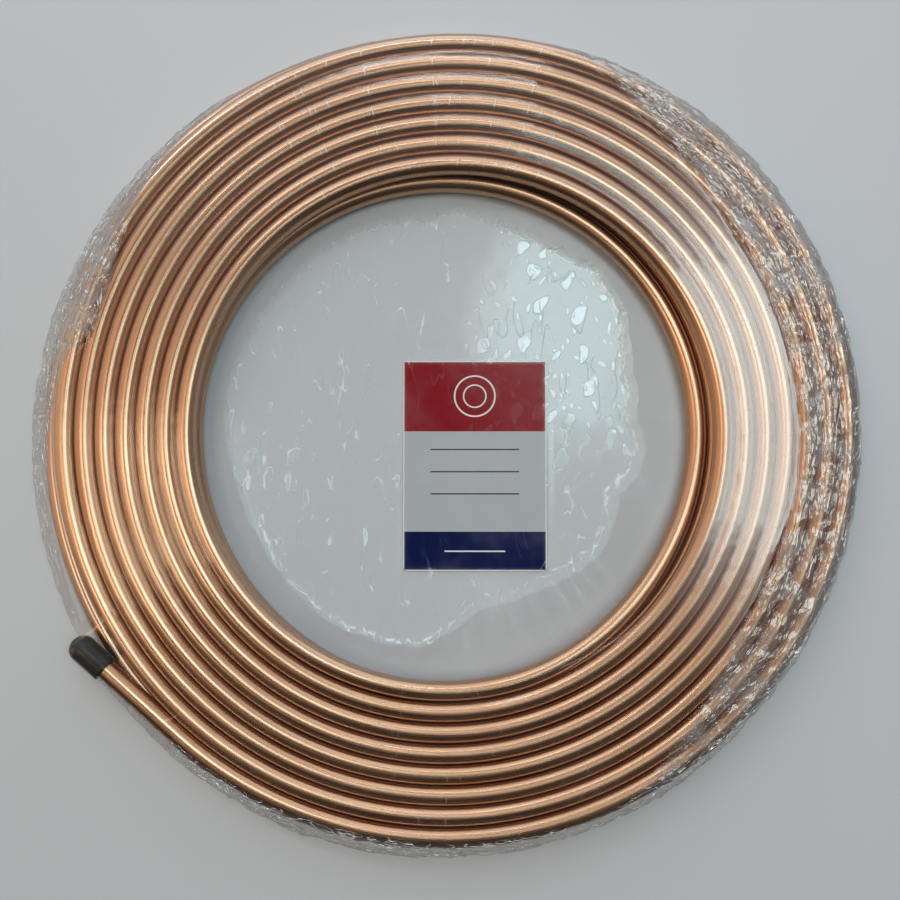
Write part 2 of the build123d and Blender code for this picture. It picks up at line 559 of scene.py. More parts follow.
@dataclass(frozen=True)
class CopperFinish:
    """Drawn copper: satin, with fine lengthwise lines and duller, redder patches."""

    bright: Colour = (0.62, 0.385, 0.245)
    dull: Colour = (0.49, 0.28, 0.17)
    roughness: float = 0.23
    patch_scale: float = 14.0
    patch_wear: float = 0.35
    line_wear: float = 0.45
    line_depth: float = 0.00003
    line_relief: float = 0.14

    def material(self, effects: Effects) -> Material:
        """Build the material from the shared effects.

        Args:
            effects: The shared effects.

        Returns:
            The material.
        """
        material, graph, shader = new_material("drawn_copper")
        along = graph.attribute("strand", "Vector")
        streaks = graph.group(effects.streaks, Place=along, Along=7.0, Across=2700.0).outputs
        patches = graph.between(graph.noise(graph.place(), self.patch_scale), 0.38, 0.72)
        worn = graph.between(streaks["Broad"], 0.35, 0.75, (0.0, self.line_wear))
        worn = graph.plus(worn, graph.times(patches, self.patch_wear))
        graph.feed(shader, "Base Color", graph.mixed(worn, self.bright, self.dull))
        rough = graph.between(streaks["Value"], 0.3, 0.7, (self.roughness - 0.05, self.roughness + 0.10))
        graph.feed(shader, "Roughness", graph.plus(rough, graph.times(patches, 0.06)))
        graph.feed(shader, "Metallic", 1.0)
        graph.bump(shader, streaks["Value"], self.line_depth, self.line_relief)
        return material


@dataclass(frozen=True)
class RubberFinish:
    """Black rubber with a soft gloss, faint mould lines and a little dust."""

    colour: Colour = (0.016, 0.015, 0.015)
    dust: Colour = (0.10, 0.095, 0.09)
    dustiness: float = 0.12
    roughness: float = 0.30
    gloss: float = 0.3
    line_depth: float = 0.00015

    def material(self, effects: Effects) -> Material:
        """Build the material from the shared effects.

        Args:
            effects: The shared effects.

        Returns:
            The material.
        """
        material, graph, shader = new_material("black_rubber")
        along = graph.attribute("strand", "Vector")
        streaks = graph.group(effects.streaks, Place=along, Along=60.0, Across=700.0).outputs
        smudges = graph.group(effects.smudges, Place=along, Patch_scale=160.0, Speck_scale=1500.0).outputs
        dusty = graph.sum("MAXIMUM", graph.times(smudges["Patches"], self.dustiness), smudges["Specks"])
        graph.feed(shader, "Base Color", graph.mixed(dusty, self.colour, self.dust))
        rough = graph.between(smudges["Patches"], 0.0, 1.0, (self.roughness, self.roughness + 0.16))
        graph.feed(shader, "Roughness", rough)
        graph.feed(shader, "Specular IOR Level", self.gloss)
        graph.bump(shader, streaks["Value"], self.line_depth, 0.5)
        return material


class FilmZone(Enum):
    """Parts of the film that look different."""

    OVER_TURNS = "clear_film_over_turns"
    CLINGING = "clear_film_clinging"
    CRUSHED = "clear_film_crushed"
    PLAIN = "clear_film_plain"


@dataclass(frozen=True)
class CreaseSet:
    """Radial creases of one size, painted as white glints, each straight through one cell of a pattern laid
    round the coil.
    """

    around: float  # cells in a radian
    outward: float  # cells in a metre
    bare: float  # share of the cells that have no crease
    width: float  # half a crease's width, in cells


@dataclass(frozen=True)
class BubbleSet:
    """Flat air bubbles of one size."""

    scale: float  # cells in a metre
    radius: float  # of the largest bubbles, in cells
    lean: float  # turn of the pattern, in radians


@dataclass(frozen=True)
class FilmFinish:
    """Clear glossy film: nearly unseen where it is flat, hazy and glinting where it is crushed.

    A share is how much of a mirror's light the film throws back, as a multiple of plain glass. A
    haze is how much of what lies behind it the film hides. Some hazes are painted light: a dark
    haze paints shade on the plain film, and white hazes paint glints, sheen and a reflected veil.
    """

    tint: Colour = (0.95, 0.94, 0.93)
    # cool tint of the clinging film, which also colours the patch's painted sheen and the painted light on
    # the slope out of the eye
    cool_tint: Colour = (0.81, 0.95, 1.0)
    # dark tone of the plain film's haze: painted shade over the eye's annulus, the sheet under the coil and
    # the cap
    shade: Colour = (0.34, 0.34, 0.35)
    # the crushed film's milk is its own, and its grey tone is painted shade
    milk_and_shade: Colour = (0.56, 0.53, 0.51)
    roughness: float = 0.09
    mirror_share: float = 1.2
    plain_share: float = 0.15
    veil_share: float = 2.0
    flat_share: float = 0.10
    airy_share: float = 0.80
    bubble_share: float = 1.5
    crushed_share: float = 5.0
    most_mirror: float = 0.16
    most_crushed_mirror: float = 0.6
    crushed_haze: float = 0.36
    # painted glints: white haze along the crushed film's crease lines
    line_painted_glint: float = 1.0
    # painted glints: white haze on the radial creases
    painted_tick_glint: float = 0.95
    # painted light in the clinging patch: white hazes for the edge's glitter, the patch's sheen, glints on
    # the strokes, sheen in the bubbles and glints on their outlines
    painted_brink_glitter: float = 0.95
    painted_cling_sheen: float = 0.12
    painted_stroke_glint: float = 0.85
    painted_bubble_sheen: float = 0.16
    painted_ring_glint: float = 0.45
    smear_haze: float = 0.015
    # painted reflection: white haze of the veil over the turns at the right
    painted_veil_haze: float = 0.24
    # painted shade: how thick the plain film's dark haze is
    painted_plain_shade: float = 0.17
    creases: tuple[CreaseSet, ...] = (CreaseSet(11.0, 14.0, 0.58, 0.022), CreaseSet(28.0, 80.0, 0.82, 0.05))
    bubbles: tuple[BubbleSet, ...] = (BubbleSet(105.0, 0.34, 0.40), BubbleSet(230.0, 0.29, -0.35))

    def material(self, effects: Effects, zone: FilmZone) -> Material:
        """Build the material of one zone from the shared effects.

        Args:
            effects: The shared effects.
            zone: The zone.

        Returns:
            The material.
        """
        material, graph, shader = new_material(zone.value, lets_lamps_through=True)
        sheet, smear = graph.attribute("sheet", "Vector"), graph.attribute("smear")
        haze = graph.times(smear, self.smear_haze)
        most = self.most_crushed_mirror if zone is FilmZone.CRUSHED else self.most_mirror
        # The plain film's dark tone and haze are painted shade; its pale marks paint it lighter towards the
        # top of the eye.
        tone = {FilmZone.PLAIN: self.shade, FilmZone.CLINGING: self.cool_tint}.get(zone, self.tint)
        colour = graph.mixed(smear, tone, tuple(0.94 * part for part in tone))
        if zone is FilmZone.PLAIN:
            steep, least = graph.attribute("steep"), 0.15 * self.painted_plain_shade
            haze = graph.plus(haze, graph.between(steep, 0.0, 1.0, (self.painted_plain_shade, least)))
            colour = graph.mixed(graph.attribute("pale"), colour, self.cool_tint)
            share: Any = self.plain_share
        elif zone is FilmZone.OVER_TURNS:
            painted_veil = graph.attribute("painted_veil")
            # White haze on the radial creases is a painted glint.
            haze = graph.plus(haze, graph.times(self._ticks(graph, sheet), self.painted_tick_glint))
            # A whitish veil stands for the window's reflection: painted on as haze over the turns at the
            # right, where the mirror share is raised too.
            haze = graph.plus(haze, graph.times(painted_veil, self.painted_veil_haze))
            share = graph.between(painted_veil, 0.0, 1.0, (self.mirror_share, self.veil_share))
        elif zone is FilmZone.CRUSHED:
            haze, share, colour = self._crushed(effects, graph, shader, sheet, haze)
        else:
            haze, share = self._clinging(effects, graph, shader, sheet, haze)
        mirror = graph.add("ShaderNodeFresnel", {"IOR": 1.5}).outputs[0]
        mirror = graph.sum("MINIMUM", graph.times(mirror, share), most)
        seen = graph.plus(mirror, haze, clamp=True)
        graph.feed(shader, "Alpha", seen)
        graph.feed(shader, "Metallic", graph.sum("DIVIDE", mirror, seen, clamp=True))
        graph.feed(shader, "Base Color", colour)
        rough = graph.between(smear, 0.0, 1.0, (self.roughness, self.roughness + 0.06))
        graph.feed(shader, "Roughness", rough)
        return material

    def _crushed(
        self, effects: Effects, graph: Graph, shader: Node, sheet: Any, haze: Any
    ) -> tuple[Any, Any, Any]:
        """Add the fine creases and the milky clumps of film that is crushed together. The white of the crease
        lines is painted glint, and the milk's grey tone is painted shade.

        Args:
            effects: The shared effects.
            graph: The material's graph.
            shader: Its shader, which gets the bump.
            sheet: Place on the film laid flat.
            haze: Haze so far.

        Returns:
            The haze with these added, the share of mirror light and the colour.
        """
        crushed, milk_and_shade = graph.attribute("crushed"), graph.attribute("milk_and_shade")
        turn, length = self._polar(graph, sheet)
        place = graph.joined(graph.times(turn, 16.0), graph.times(length, 300.0))
        fine = graph.group(effects.creases, Place=place, Scale=1.35, Width=0.03).outputs
        clumps = graph.between(graph.noise(sheet, 60.0, detail=1.0, flat=True), 0.35, 0.7, (0.3, 1.0))
        # The crease lines are painted white as glints.
        lines = graph.times(fine["Lines"], graph.times(clumps, self.line_painted_glint))
        milky = graph.plus(lines, graph.times(clumps, self.crushed_haze))
        haze = graph.plus(haze, graph.times(milky, milk_and_shade))
        graph.bump(shader, graph.times(fine["Height"], crushed), 0.0009, 0.9)
        # painted glints whiten the lines; the grey of the milk is painted shade
        colour = graph.mixed(graph.between(fine["Lines"], 0.0, 0.6), self.milk_and_shade, self.tint)
        return haze, graph.between(crushed, 0.0, 1.0, (self.mirror_share, self.crushed_share)), colour

    @staticmethod
    def _polar(graph: Graph, sheet: Any) -> tuple[Any, Any]:
        """Angle in radians and distance in metres of a place on the film laid flat.

        Args:
            graph: The material's graph.
            sheet: The place.

        Returns:
            The angle and distance.
        """
        parts = graph.parts(sheet)
        length = graph.add("ShaderNodeVectorMath", {0: sheet}, operation="LENGTH").outputs["Value"]
        return graph.sum("ARCTAN2", parts[1], parts[0]), length

    def _ticks(self, graph: Graph, sheet: Any) -> Any:
        """Mask of the radial creases' painted glints, which show only where the turns press the film.

        Args:
            graph: The material's graph.
            sheet: Place on the film laid flat.

        Returns:
            The mask, which is the stronger of the two sets of creases.
        """
        turn, length = self._polar(graph, sheet)
        masks = []
        for creases in self.creases:
            steps = graph.times(turn, creases.around), graph.times(length, creases.outward)
            cells, chance = graph.cells(graph.joined(*steps), 1.0)
            middle = graph.parts(cells.outputs["Position"])
            lean = graph.times(graph.minus(chance[1], 0.5), 0.8)
            beyond = graph.times(graph.minus(steps[1], middle[1]), lean)
            beside = graph.sum("ABSOLUTE", graph.plus(graph.minus(steps[0], middle[0]), beyond))
            line = graph.between(beside, creases.width, 0.4 * creases.width)
            masks.append(graph.times(line, graph.sum("GREATER_THAN", chance[0], creases.bare)))
        return graph.times(graph.sum("MAXIMUM", *masks), graph.attribute("pressed"))

    def _clinging(
        self, effects: Effects, graph: Graph, shader: Node, sheet: Any, haze: Any
    ) -> tuple[Any, Any]:
        """Add the strokes, air bubbles and edge of two sheets that cling together, with the painted sheen,
        glints and glitter that lie on them.

        Args:
            effects: The shared effects.
            graph: The material's graph.
            shader: Its shader, which gets the bump.
            sheet: Place on the film laid flat.
            haze: Haze so far.

        Returns:
            The haze with these added, and the share of mirror light.
        """
        air_and_sheen, brink, loose = (graph.attribute(name) for name in ("air_and_sheen", "brink", "loose"))
        tall = graph.stretched(sheet, (1.0, 0.32, 1.0))
        curls = graph.group(effects.creases, Place=tall, Scale=120.0, Width=0.022).outputs["Lines"]
        dashes = graph.between(graph.noise(tall, 90.0, detail=1.0, flat=True), 0.52, 0.64)
        strokes = graph.times(graph.times(curls, dashes), loose)
        broken = graph.between(graph.noise(sheet, 190.0, detail=1.0, flat=True), 0.44, 0.60)
        edge = graph.times(graph.between(brink, 0.45, 1.0), broken)
        painted_glitter = graph.sum("MAXIMUM", edge, graph.times(curls, brink))
        bubbles, rings = (graph.times(mask, loose) for mask in self._bubbles(graph, sheet, air_and_sheen))
        # The patch is painted lighter where more air is trapped, a painted sheen; white hazes paint glints on
        # the strokes, the bubbles' outlines and the edge, and sheen in the bubbles.
        patch = graph.between(air_and_sheen, 0.0, 1.0, (self.painted_cling_sheen, 1.9 * self.painted_cling_sheen))
        haze = graph.plus(graph.times(haze, loose), graph.times(patch, loose))
        masks = (strokes, bubbles, rings, painted_glitter)
        hazes = (self.painted_stroke_glint, self.painted_bubble_sheen, self.painted_ring_glint, self.painted_brink_glitter)
        for mask, strength in zip(masks, hazes):
            haze = graph.plus(haze, graph.times(mask, strength))
        share = graph.times(loose, graph.between(air_and_sheen, 0.0, 1.0, (self.flat_share, self.airy_share)))
        share = graph.plus(share, graph.times(bubbles, self.bubble_share))
        graph.bump(shader, graph.plus(strokes, graph.times(rings, 0.5)), 0.0005, 0.7)
        return haze, share

    def _bubbles(self, graph: Graph, sheet: Any, air_and_sheen: Any) -> tuple[Any, Any]:
        """Mask the flat air bubbles and their outlines.

        Args:
            graph: The material's graph.
            sheet: Place on the film laid flat.
            air_and_sheen: How much air is trapped there. The bubbles lie closer together where it is more.

        Returns:
            The masks of the bubbles and of their outlines.
        """
        inputs = {"Vector": sheet, "Scale": 130.0, "Detail": 0.0}
        wobble = graph.add("ShaderNodeTexNoise", inputs, noise_dimensions="2D").outputs["Color"]
        shift = graph.add("ShaderNodeVectorMath", {0: wobble, "Scale": 0.005}, operation="SCALE").outputs[0]
        bent = graph.add("ShaderNodeVectorMath", {0: sheet, 1: shift}, operation="ADD").outputs[0]
        bare = graph.between(air_and_sheen, 0.0, 1.0, (0.96, 0.40))
        insides, rings = [], []
        for size in self.bubbles:
            inputs = {"Vector": bent, "Angle": size.lean}
            turned = graph.add("ShaderNodeVectorRotate", inputs, rotation_type="Z_AXIS")
            place = graph.stretched(turned.outputs[0], (1.0, 0.55, 1.0), size.scale / 40)
            cells, chance = graph.cells(place, size.scale, 0.72)
            over = graph.sum("DIVIDE", graph.minus(chance[0], bare), 0.5, clamp=True)
            radius = graph.times(graph.sum("SQRT", over), size.radius)
            depth = graph.minus(radius, cells.outputs["Distance"])
            insides.append(graph.between(depth, 0.0, 0.025))
            rings.append(graph.minus(insides[-1], graph.between(depth, 0.02, 0.06)))
        return graph.sum("MAXIMUM", *insides), graph.sum("MAXIMUM", *rings)


@dataclass(frozen=True)
class CardFinish:
    """Coated label card with bands of colour, a plain pair of rings and blank ruled lines."""

    red: Colour = (0.25, 0.008, 0.016)
    navy: Colour = (0.001, 0.006, 0.065)
    pale: Colour = (0.46, 0.50, 0.53)
    white: Colour = (0.80, 0.82, 0.84)
    ink: Colour = (0.05, 0.055, 0.065)
    red_depth: float = 35.0
    navy_depth: float = 19.3
    edge: float = 0.5
    rings: tuple[tuple[float, float], ...] = ((9.6, 10.4), (5.2, 5.9))
    rules: tuple[float, ...] = (8.0, -3.0, -14.0)
    rule_half_length: float = 22.0
    rule_half_width: float = 0.35
    bar_half_length: float = 15.0
    gloss: float = 0.03

    def material(self, effects: Effects, middle: Vector, size: Vector) -> Material:
        """Build the material.

        Args:
            effects: The shared effects.
            middle: Middle of the card, in metres.
            size: Its size, in metres.

        Returns:
            The material.
        """
        material, graph, shader = new_material("printed_card")
        place = graph.place()
        parts = graph.parts(place)
        across = graph.sum("DIVIDE", graph.minus(parts[0], middle.x), MM)
        up = graph.sum("DIVIDE", graph.minus(parts[1], middle.y), MM)
        colour = self._print(graph, across, up, size.x / 2 / MM, size.y / 2 / MM)
        smudges = graph.group(effects.smudges, Place=place, Patch_scale=25.0, Speck_scale=1600.0).outputs
        colour = graph.mixed(graph.times(smudges["Patches"], 0.05), colour, self.white)
        graph.feed(shader, "Base Color", colour)
        graph.feed(shader, "Roughness", graph.between(smudges["Patches"], 0.0, 1.0, (0.20, 0.30)))
        graph.feed(shader, "Specular IOR Level", self.gloss)
        ripples = graph.noise(graph.stretched(place, (1.0, 0.35, 1.0)), 260.0)
        graph.bump(shader, ripples, 0.0006, 0.2)
        return material

    def _print(self, graph: Graph, across: Any, up: Any, half_width: float, half_length: float) -> Any:
        """Colour the card's bands, rings, lines and edge.

        Args:
            graph: The material's graph.
            across: Millimetres from the card's middle, to the right.
            up: Millimetres from its middle, upwards.
            half_width: Half its width.
            half_length: Half its length.

        Returns:
            The colour.
        """
        red_middle, navy_middle = half_length - self.red_depth / 2, self.navy_depth / 2 - half_length
        colour = graph.mixed(graph.sum("GREATER_THAN", up, half_length - self.red_depth), self.pale, self.red)
        colour = graph.mixed(graph.sum("LESS_THAN", up, self.navy_depth - half_length), colour, self.navy)
        for inner, outer in self.rings:
            colour = graph.mixed(self._ring(graph, across, up, red_middle, inner, outer), colour, self.white)
        for height in self.rules:
            line = self._rule(graph, across, up, height, self.rule_half_length)
            colour = graph.mixed(line, colour, self.ink)
        bar = self._rule(graph, across, up, navy_middle, self.bar_half_length)
        colour = graph.mixed(bar, colour, self.white)
        sides = graph.minus(graph.sum("ABSOLUTE", across), half_width - self.edge)
        ends = graph.minus(graph.sum("ABSOLUTE", up), half_length - self.edge)
        rim = graph.sum("GREATER_THAN", graph.sum("MAXIMUM", sides, ends), 0.0)
        return graph.mixed(rim, colour, self.white)

    @staticmethod
    def _ring(graph: Graph, across: Any, up: Any, height: float, inner: float, outer: float) -> Any:
        """Mask of a ring in the middle of the card's width, at a height.

        Args:
            graph: The material's graph.
            across: Millimetres from the card's middle, to the right.
            up: Millimetres from its middle, upwards.
            height: Height of the ring's middle.
            inner: Its inner radius.
            outer: Its outer radius.

        Returns:
            The mask.
        """
        above = graph.minus(up, height)
        squares = graph.plus(graph.times(across, across), graph.times(above, above))
        outside = graph.sum("GREATER_THAN", squares, inner**2)
        return graph.times(outside, graph.sum("LESS_THAN", squares, outer**2))

    def _rule(self, graph: Graph, across: Any, up: Any, height: float, half_length: float) -> Any:
        """Mask of a thin line across the card at a height."""
        thin = graph.sum("LESS_THAN", graph.sum("ABSOLUTE", graph.minus(up, height)), self.rule_half_width)
        return graph.times(thin, graph.sum("LESS_THAN", graph.sum("ABSOLUTE", across), half_length))


@dataclass(frozen=True)
class FloorFinish:
    """Plain pale matt floor."""

    colour: Colour = (0.65, 0.685, 0.735)

    def material(self) -> Material:
        """Build the material.

        Returns:
            The material.
        """
        material, graph, shader = new_material("pale_floor")
        darker = tuple(0.95 * part for part in self.colour)
        clouds = graph.noise(graph.place(), 3.0, detail=1.0)
        graph.feed(shader, "Base Color", graph.mixed(clouds, self.colour, darker))
        graph.feed(shader, "Roughness", 0.6)
        return material


@dataclass(frozen=True)
class Arc:
    """Level stretch of a turn about an upright axis that stands on the X axis."""

    axis_x: float
    radius: float
    height: float
    start: float
    end: float

    def points(self, step: float) -> np.ndarray:
        """Places along the arc about one step apart, both ends among them.

        Args:
            step: Distance between them.

        Returns:
            One row for each place.
        """
        count = max(2, round(math.radians(self.end - self.start) * self.radius / step) + 1)
        turn = np.radians(np.linspace(self.start, self.end, count))
        x, y = self.radius * np.cos(turn) + self.axis_x, self.radius * np.sin(turn)
        return np.column_stack([x, y, np.full(count, self.height)])

    def reach(self, degrees: np.ndarray) -> np.ndarray:
        """Distance from the origin to the arc's whole circle, by angle about the origin."""
        turn = np.radians(degrees)
        return self.axis_x * np.cos(turn) + np.sqrt(self.radius**2 - (self.axis_x * np.sin(turn)) ** 2)

    def holds(self, degrees: np.ndarray) -> np.ndarray:
        """True where the arc lies at these angles."""
        turned = np.mod(degrees, 360)
        return (turned >= self.start) & (turned <= self.end)


@dataclass(frozen=True)
class Winding:
    """The tube: a true double spiral of two layers, with its crossing, free end and hidden end."""

    tube_od: float = 9.525
    tube_wall: float = 0.81
    pitch: float = 9.8
    upper_back_radius: float = 187.8
    upper_turns: int = 7
    lower_back_radius: float = 123.5
    lower_turns: int = 8
    tail_angle: float = 228.0
    crossing_angle: float = 285.0
    crossing_bow: float = 1.2
    lower_end_angle: float = 236.0
    tail_length: float = 58.0
    tail_rise: float = 1.2
    bore_depth: float = 25.0
    bed: float = 0.7
    unevenness: float = 0.11
    wander_length: float = 95.0
    burr: float = 0.25
    step: float = 5.0
    sides: int = 28
    seed: int = 11

    @property
    def tube_radius(self) -> float:
        """Half the tube's outer diameter."""
        return self.tube_od / 2

    @property
    def lower_z(self) -> float:
        """Height of the middle of the lower turns."""
        return self.bed + self.tube_radius

    @property
    def upper_z(self) -> float:
        """Height of the middle of the upper turns."""
        return self.lower_z + self.tube_od

    @property
    def half_shift(self) -> float:
        """How far each half turn's axis stands from the middle."""
        return self.pitch / 4

    def upper_back(self, turn: int) -> Arc:
        """Back half of an upper turn, counted inwards."""
        return Arc(self.half_shift, self.upper_back_radius - turn * self.pitch, self.upper_z, 0, 180)

    def upper_front(self, turn: int) -> Arc:
        """Front half of an upper turn, counted inwards.

        Args:
            turn: Number of the turn.

        Returns:
            Its front half.
        """
        start = self.tail_angle if turn == 0 else 180
        end = self.crossing_angle if turn == self.upper_turns else 360
        radius = self.upper_back_radius + self.pitch / 2 - turn * self.pitch
        return Arc(-self.half_shift, radius, self.upper_z, start, end)

    def lower_back(self, turn: int) -> Arc:
        """Back half of a lower turn, counted outwards."""
        return Arc(-self.half_shift, self.lower_back_radius + turn * self.pitch, self.lower_z, 0, 180)

    def lower_front(self, turn: int) -> Arc:
        """Front half of a lower turn, counted outwards.

        Args:
            turn: Number of the turn.

        Returns:
            Its front half.
        """
        end = self.lower_end_angle if turn == self.lower_turns - 1 else 360
        radius = self.lower_back_radius + self.pitch / 2 + turn * self.pitch
        return Arc(self.half_shift, radius, self.lower_z, 180, end)

    def upper_arcs(self) -> list[Arc]:
        """The upper layer's stretches in their order from the free end.

        Returns:
            The stretches.
        """
        arcs = [self.upper_front(0)]
        for turn in range(self.upper_turns):
            arcs += [self.upper_back(turn), self.upper_front(turn + 1)]
        return arcs

    def lower_arcs(self) -> list[Arc]:
        """The lower layer's stretches in their order from the crossing.

        Returns:
            The stretches.
        """
        arcs = []
        for turn in range(self.lower_turns):
            arcs += [self.lower_back(turn), self.lower_front(turn)]
        return arcs

    def crossing(self, step: float) -> np.ndarray:
        """The way down from the innermost upper turn to the innermost lower turn.

        Args:
            step: Distance between places.

        Returns:
            One row for each place.
        """
        first, last = self.upper_front(self.upper_turns), self.lower_back(0)
        sweep = 360 - self.crossing_angle
        way = np.linspace(0, 1, round(math.radians(sweep) * last.radius / step) + 1)
        eased = way * way * (3 - 2 * way)
        turn = np.radians(self.crossing_angle + sweep * way)
        radius = first.radius + eased * (last.radius - first.radius)
        radius -= self.crossing_bow * np.sin(math.pi * way) ** 2
        height = first.height + eased * (last.height - first.height)
        return np.column_stack([radius * np.cos(turn) - self.half_shift, radius * np.sin(turn), height])

    def tail_ends(self) -> tuple[np.ndarray, np.ndarray]:
        """Root and tip of the straight free end.

        Returns:
            The root and the tip.
        """
        root = self.upper_front(0).points(self.step)[0]
        turn = math.radians(self.tail_angle)
        along = np.array([math.sin(turn), -math.cos(turn), 0.0]) * self.tail_length
        return root, root + along + np.array([0.0, 0.0, self.tail_rise])

    def tail(self, step: float) -> np.ndarray:
        """Places along the free end, from its tip to its root."""
        root, tip = self.tail_ends()
        return np.linspace(tip, root, round(self.tail_length / step) + 1)

    def route(self) -> np.ndarray:
        """Middle line of the whole tube, from the tip of the free end to the hidden end.

        Returns:
            One row for each place.
        """
        runs = [self.tail(self.step)] + [arc.points(self.step) for arc in self.upper_arcs()]
        runs += [self.crossing(self.step)] + [arc.points(self.step) for arc in self.lower_arcs()]
        points = np.concatenate([runs[0]] + [run[1:] for run in runs[1:]])
        return self._uneven(points)

    def _uneven(self, points: np.ndarray) -> np.ndarray:
        """Let the turns wander in and out a little, as hand-sized coils do.

        Args:
            points: Middle line of the tube.

        Returns:
            The same line, moved.
        """
        along = lengths_along(points)
        wander = Grain(self.seed).smooth(along / self.wander_length, np.full(len(along), 0.5)) / 0.5
        fade = smooth_step(0, 150, along - self.tail_length) * smooth_step(0, 60, along[-1] - along)
        outward = points[:, :2] / np.linalg.norm(points[:, :2], axis=1, keepdims=True)
        moved = points.copy()
        moved[:, :2] += outward * (self.unevenness * wander * fade)[:, None]
        return moved

    def _rings(self, last: int) -> list[tuple[int, float, float]]:
        """List the tube's rings, from the end of one bore over the outside to the end of the other.

        Args:
            last: Number of the last point of the middle line.

        Returns:
            For each ring, the number of its point, its radius, and how far along it is moved.
        """
        bore, edge = self.tube_radius - self.tube_wall, self.tube_radius - self.burr
        mouth = bore + self.burr / 2
        rings = [(0, bore, self.bore_depth), (0, bore, self.burr), (0, mouth, 0.0), (0, edge, 0.0)]
        rings += [(0, self.tube_radius, self.burr)]
        rings += [(number, self.tube_radius, 0.0) for number in range(1, last)]
        rings += [(last, self.tube_radius, -self.burr), (last, edge, 0.0), (last, mouth, 0.0)]
        return rings + [(last, bore, -self.burr), (last, bore, -self.bore_depth)]

    def build(self) -> Piece:
        """Make the tube with the open bore at its ends.

        Returns:
            The tube.
        """
        line = self.route()
        along = lengths_along(line)
        way = np.gradient(line, axis=0)
        way /= np.linalg.norm(way, axis=1, keepdims=True)
        side, up = square_to(way)
        cosine, sine = round_section(self.sides)
        points, strand = [], []
        for number, radius, inset in self._rings(len(line) - 1):
            middle = line[number] + way[number] * inset
            points.append(middle + radius * (cosine * side[number] + sine * up[number]))
            length = np.full((self.sides, 1), along[number] + inset)
            strand.append(np.hstack([length, radius * cosine, radius * sine]))
        faces = grid_faces(len(points), self.sides)
        count = len(points) * self.sides
        faces += [tuple(range(self.sides))[::-1], tuple(range(count - self.sides, count))]
        piece = mesh_piece("copper_tube", np.concatenate(points), faces)
        set_values(piece, "strand", np.concatenate(strand) * MM)
        for face in list(piece.data.polygons)[-2:]:
            face.use_smooth = False
        return piece

    def dress(self, piece: Piece, finish: Material) -> None:
        """Give the tube its finish and its place in the model.

        Args:
            piece: The piece.
            finish: Its material.
        """
        piece.data.materials.append(finish)
        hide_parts("tube_coil")
        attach(piece, BODY)

    def free_end_beads(self, cap: "EndCap") -> list[tuple[np.ndarray, float]]:
        """Balls that fill the free end, its cap and the crossing, for the film to clear.

        Args:
            cap: The cap on the free end.

        Returns:
            Middle and radius of each ball.
        """
        root, tip = self.tail_ends()
        beads = [(spot, self.tube_radius) for spot in self.tail(2.0)]
        beads += [(spot, self.tube_radius) for spot in self.crossing(2.0)]
        along = (tip - root) / np.linalg.norm(tip - root)
        places = np.linspace(0, cap.grip - cap.outer_radius, 6)
        return beads + [(tip - along * back, cap.outer_radius) for back in places]

    def cover(self, x: np.ndarray, y: np.ndarray, beads: list, gap: float) -> np.ndarray:
        """Lowest height at which a sheet clears the winding from above.

        Args:
            x: Places to look at.
            y: Places to look at.
            beads: Balls of the free end and the crossing.
            gap: Clearance kept from the tube.

        Returns:
            The height at each place, or 0 where nothing lies below it.
        """
        height = np.zeros(np.shape(x))
        radius = self.tube_radius + gap
        degrees = np.degrees(np.arctan2(y, x))
        for arc in self.upper_arcs() + self.lower_arcs():
            away = np.hypot(x - arc.axis_x, y) - arc.radius
            over = (np.abs(away) < radius) & arc.holds(degrees)
            top = arc.height + np.sqrt(np.maximum(radius**2 - away**2, 0))
            height = np.where(over, np.maximum(height, top), height)
        for middle, bead in beads:
            spare = (bead + gap) ** 2 - (x - middle[0]) ** 2 - (y - middle[1]) ** 2
            top = middle[2] + np.sqrt(np.maximum(spare, 0))
            height = np.where(spare > 0, np.maximum(height, top), height)
        return height


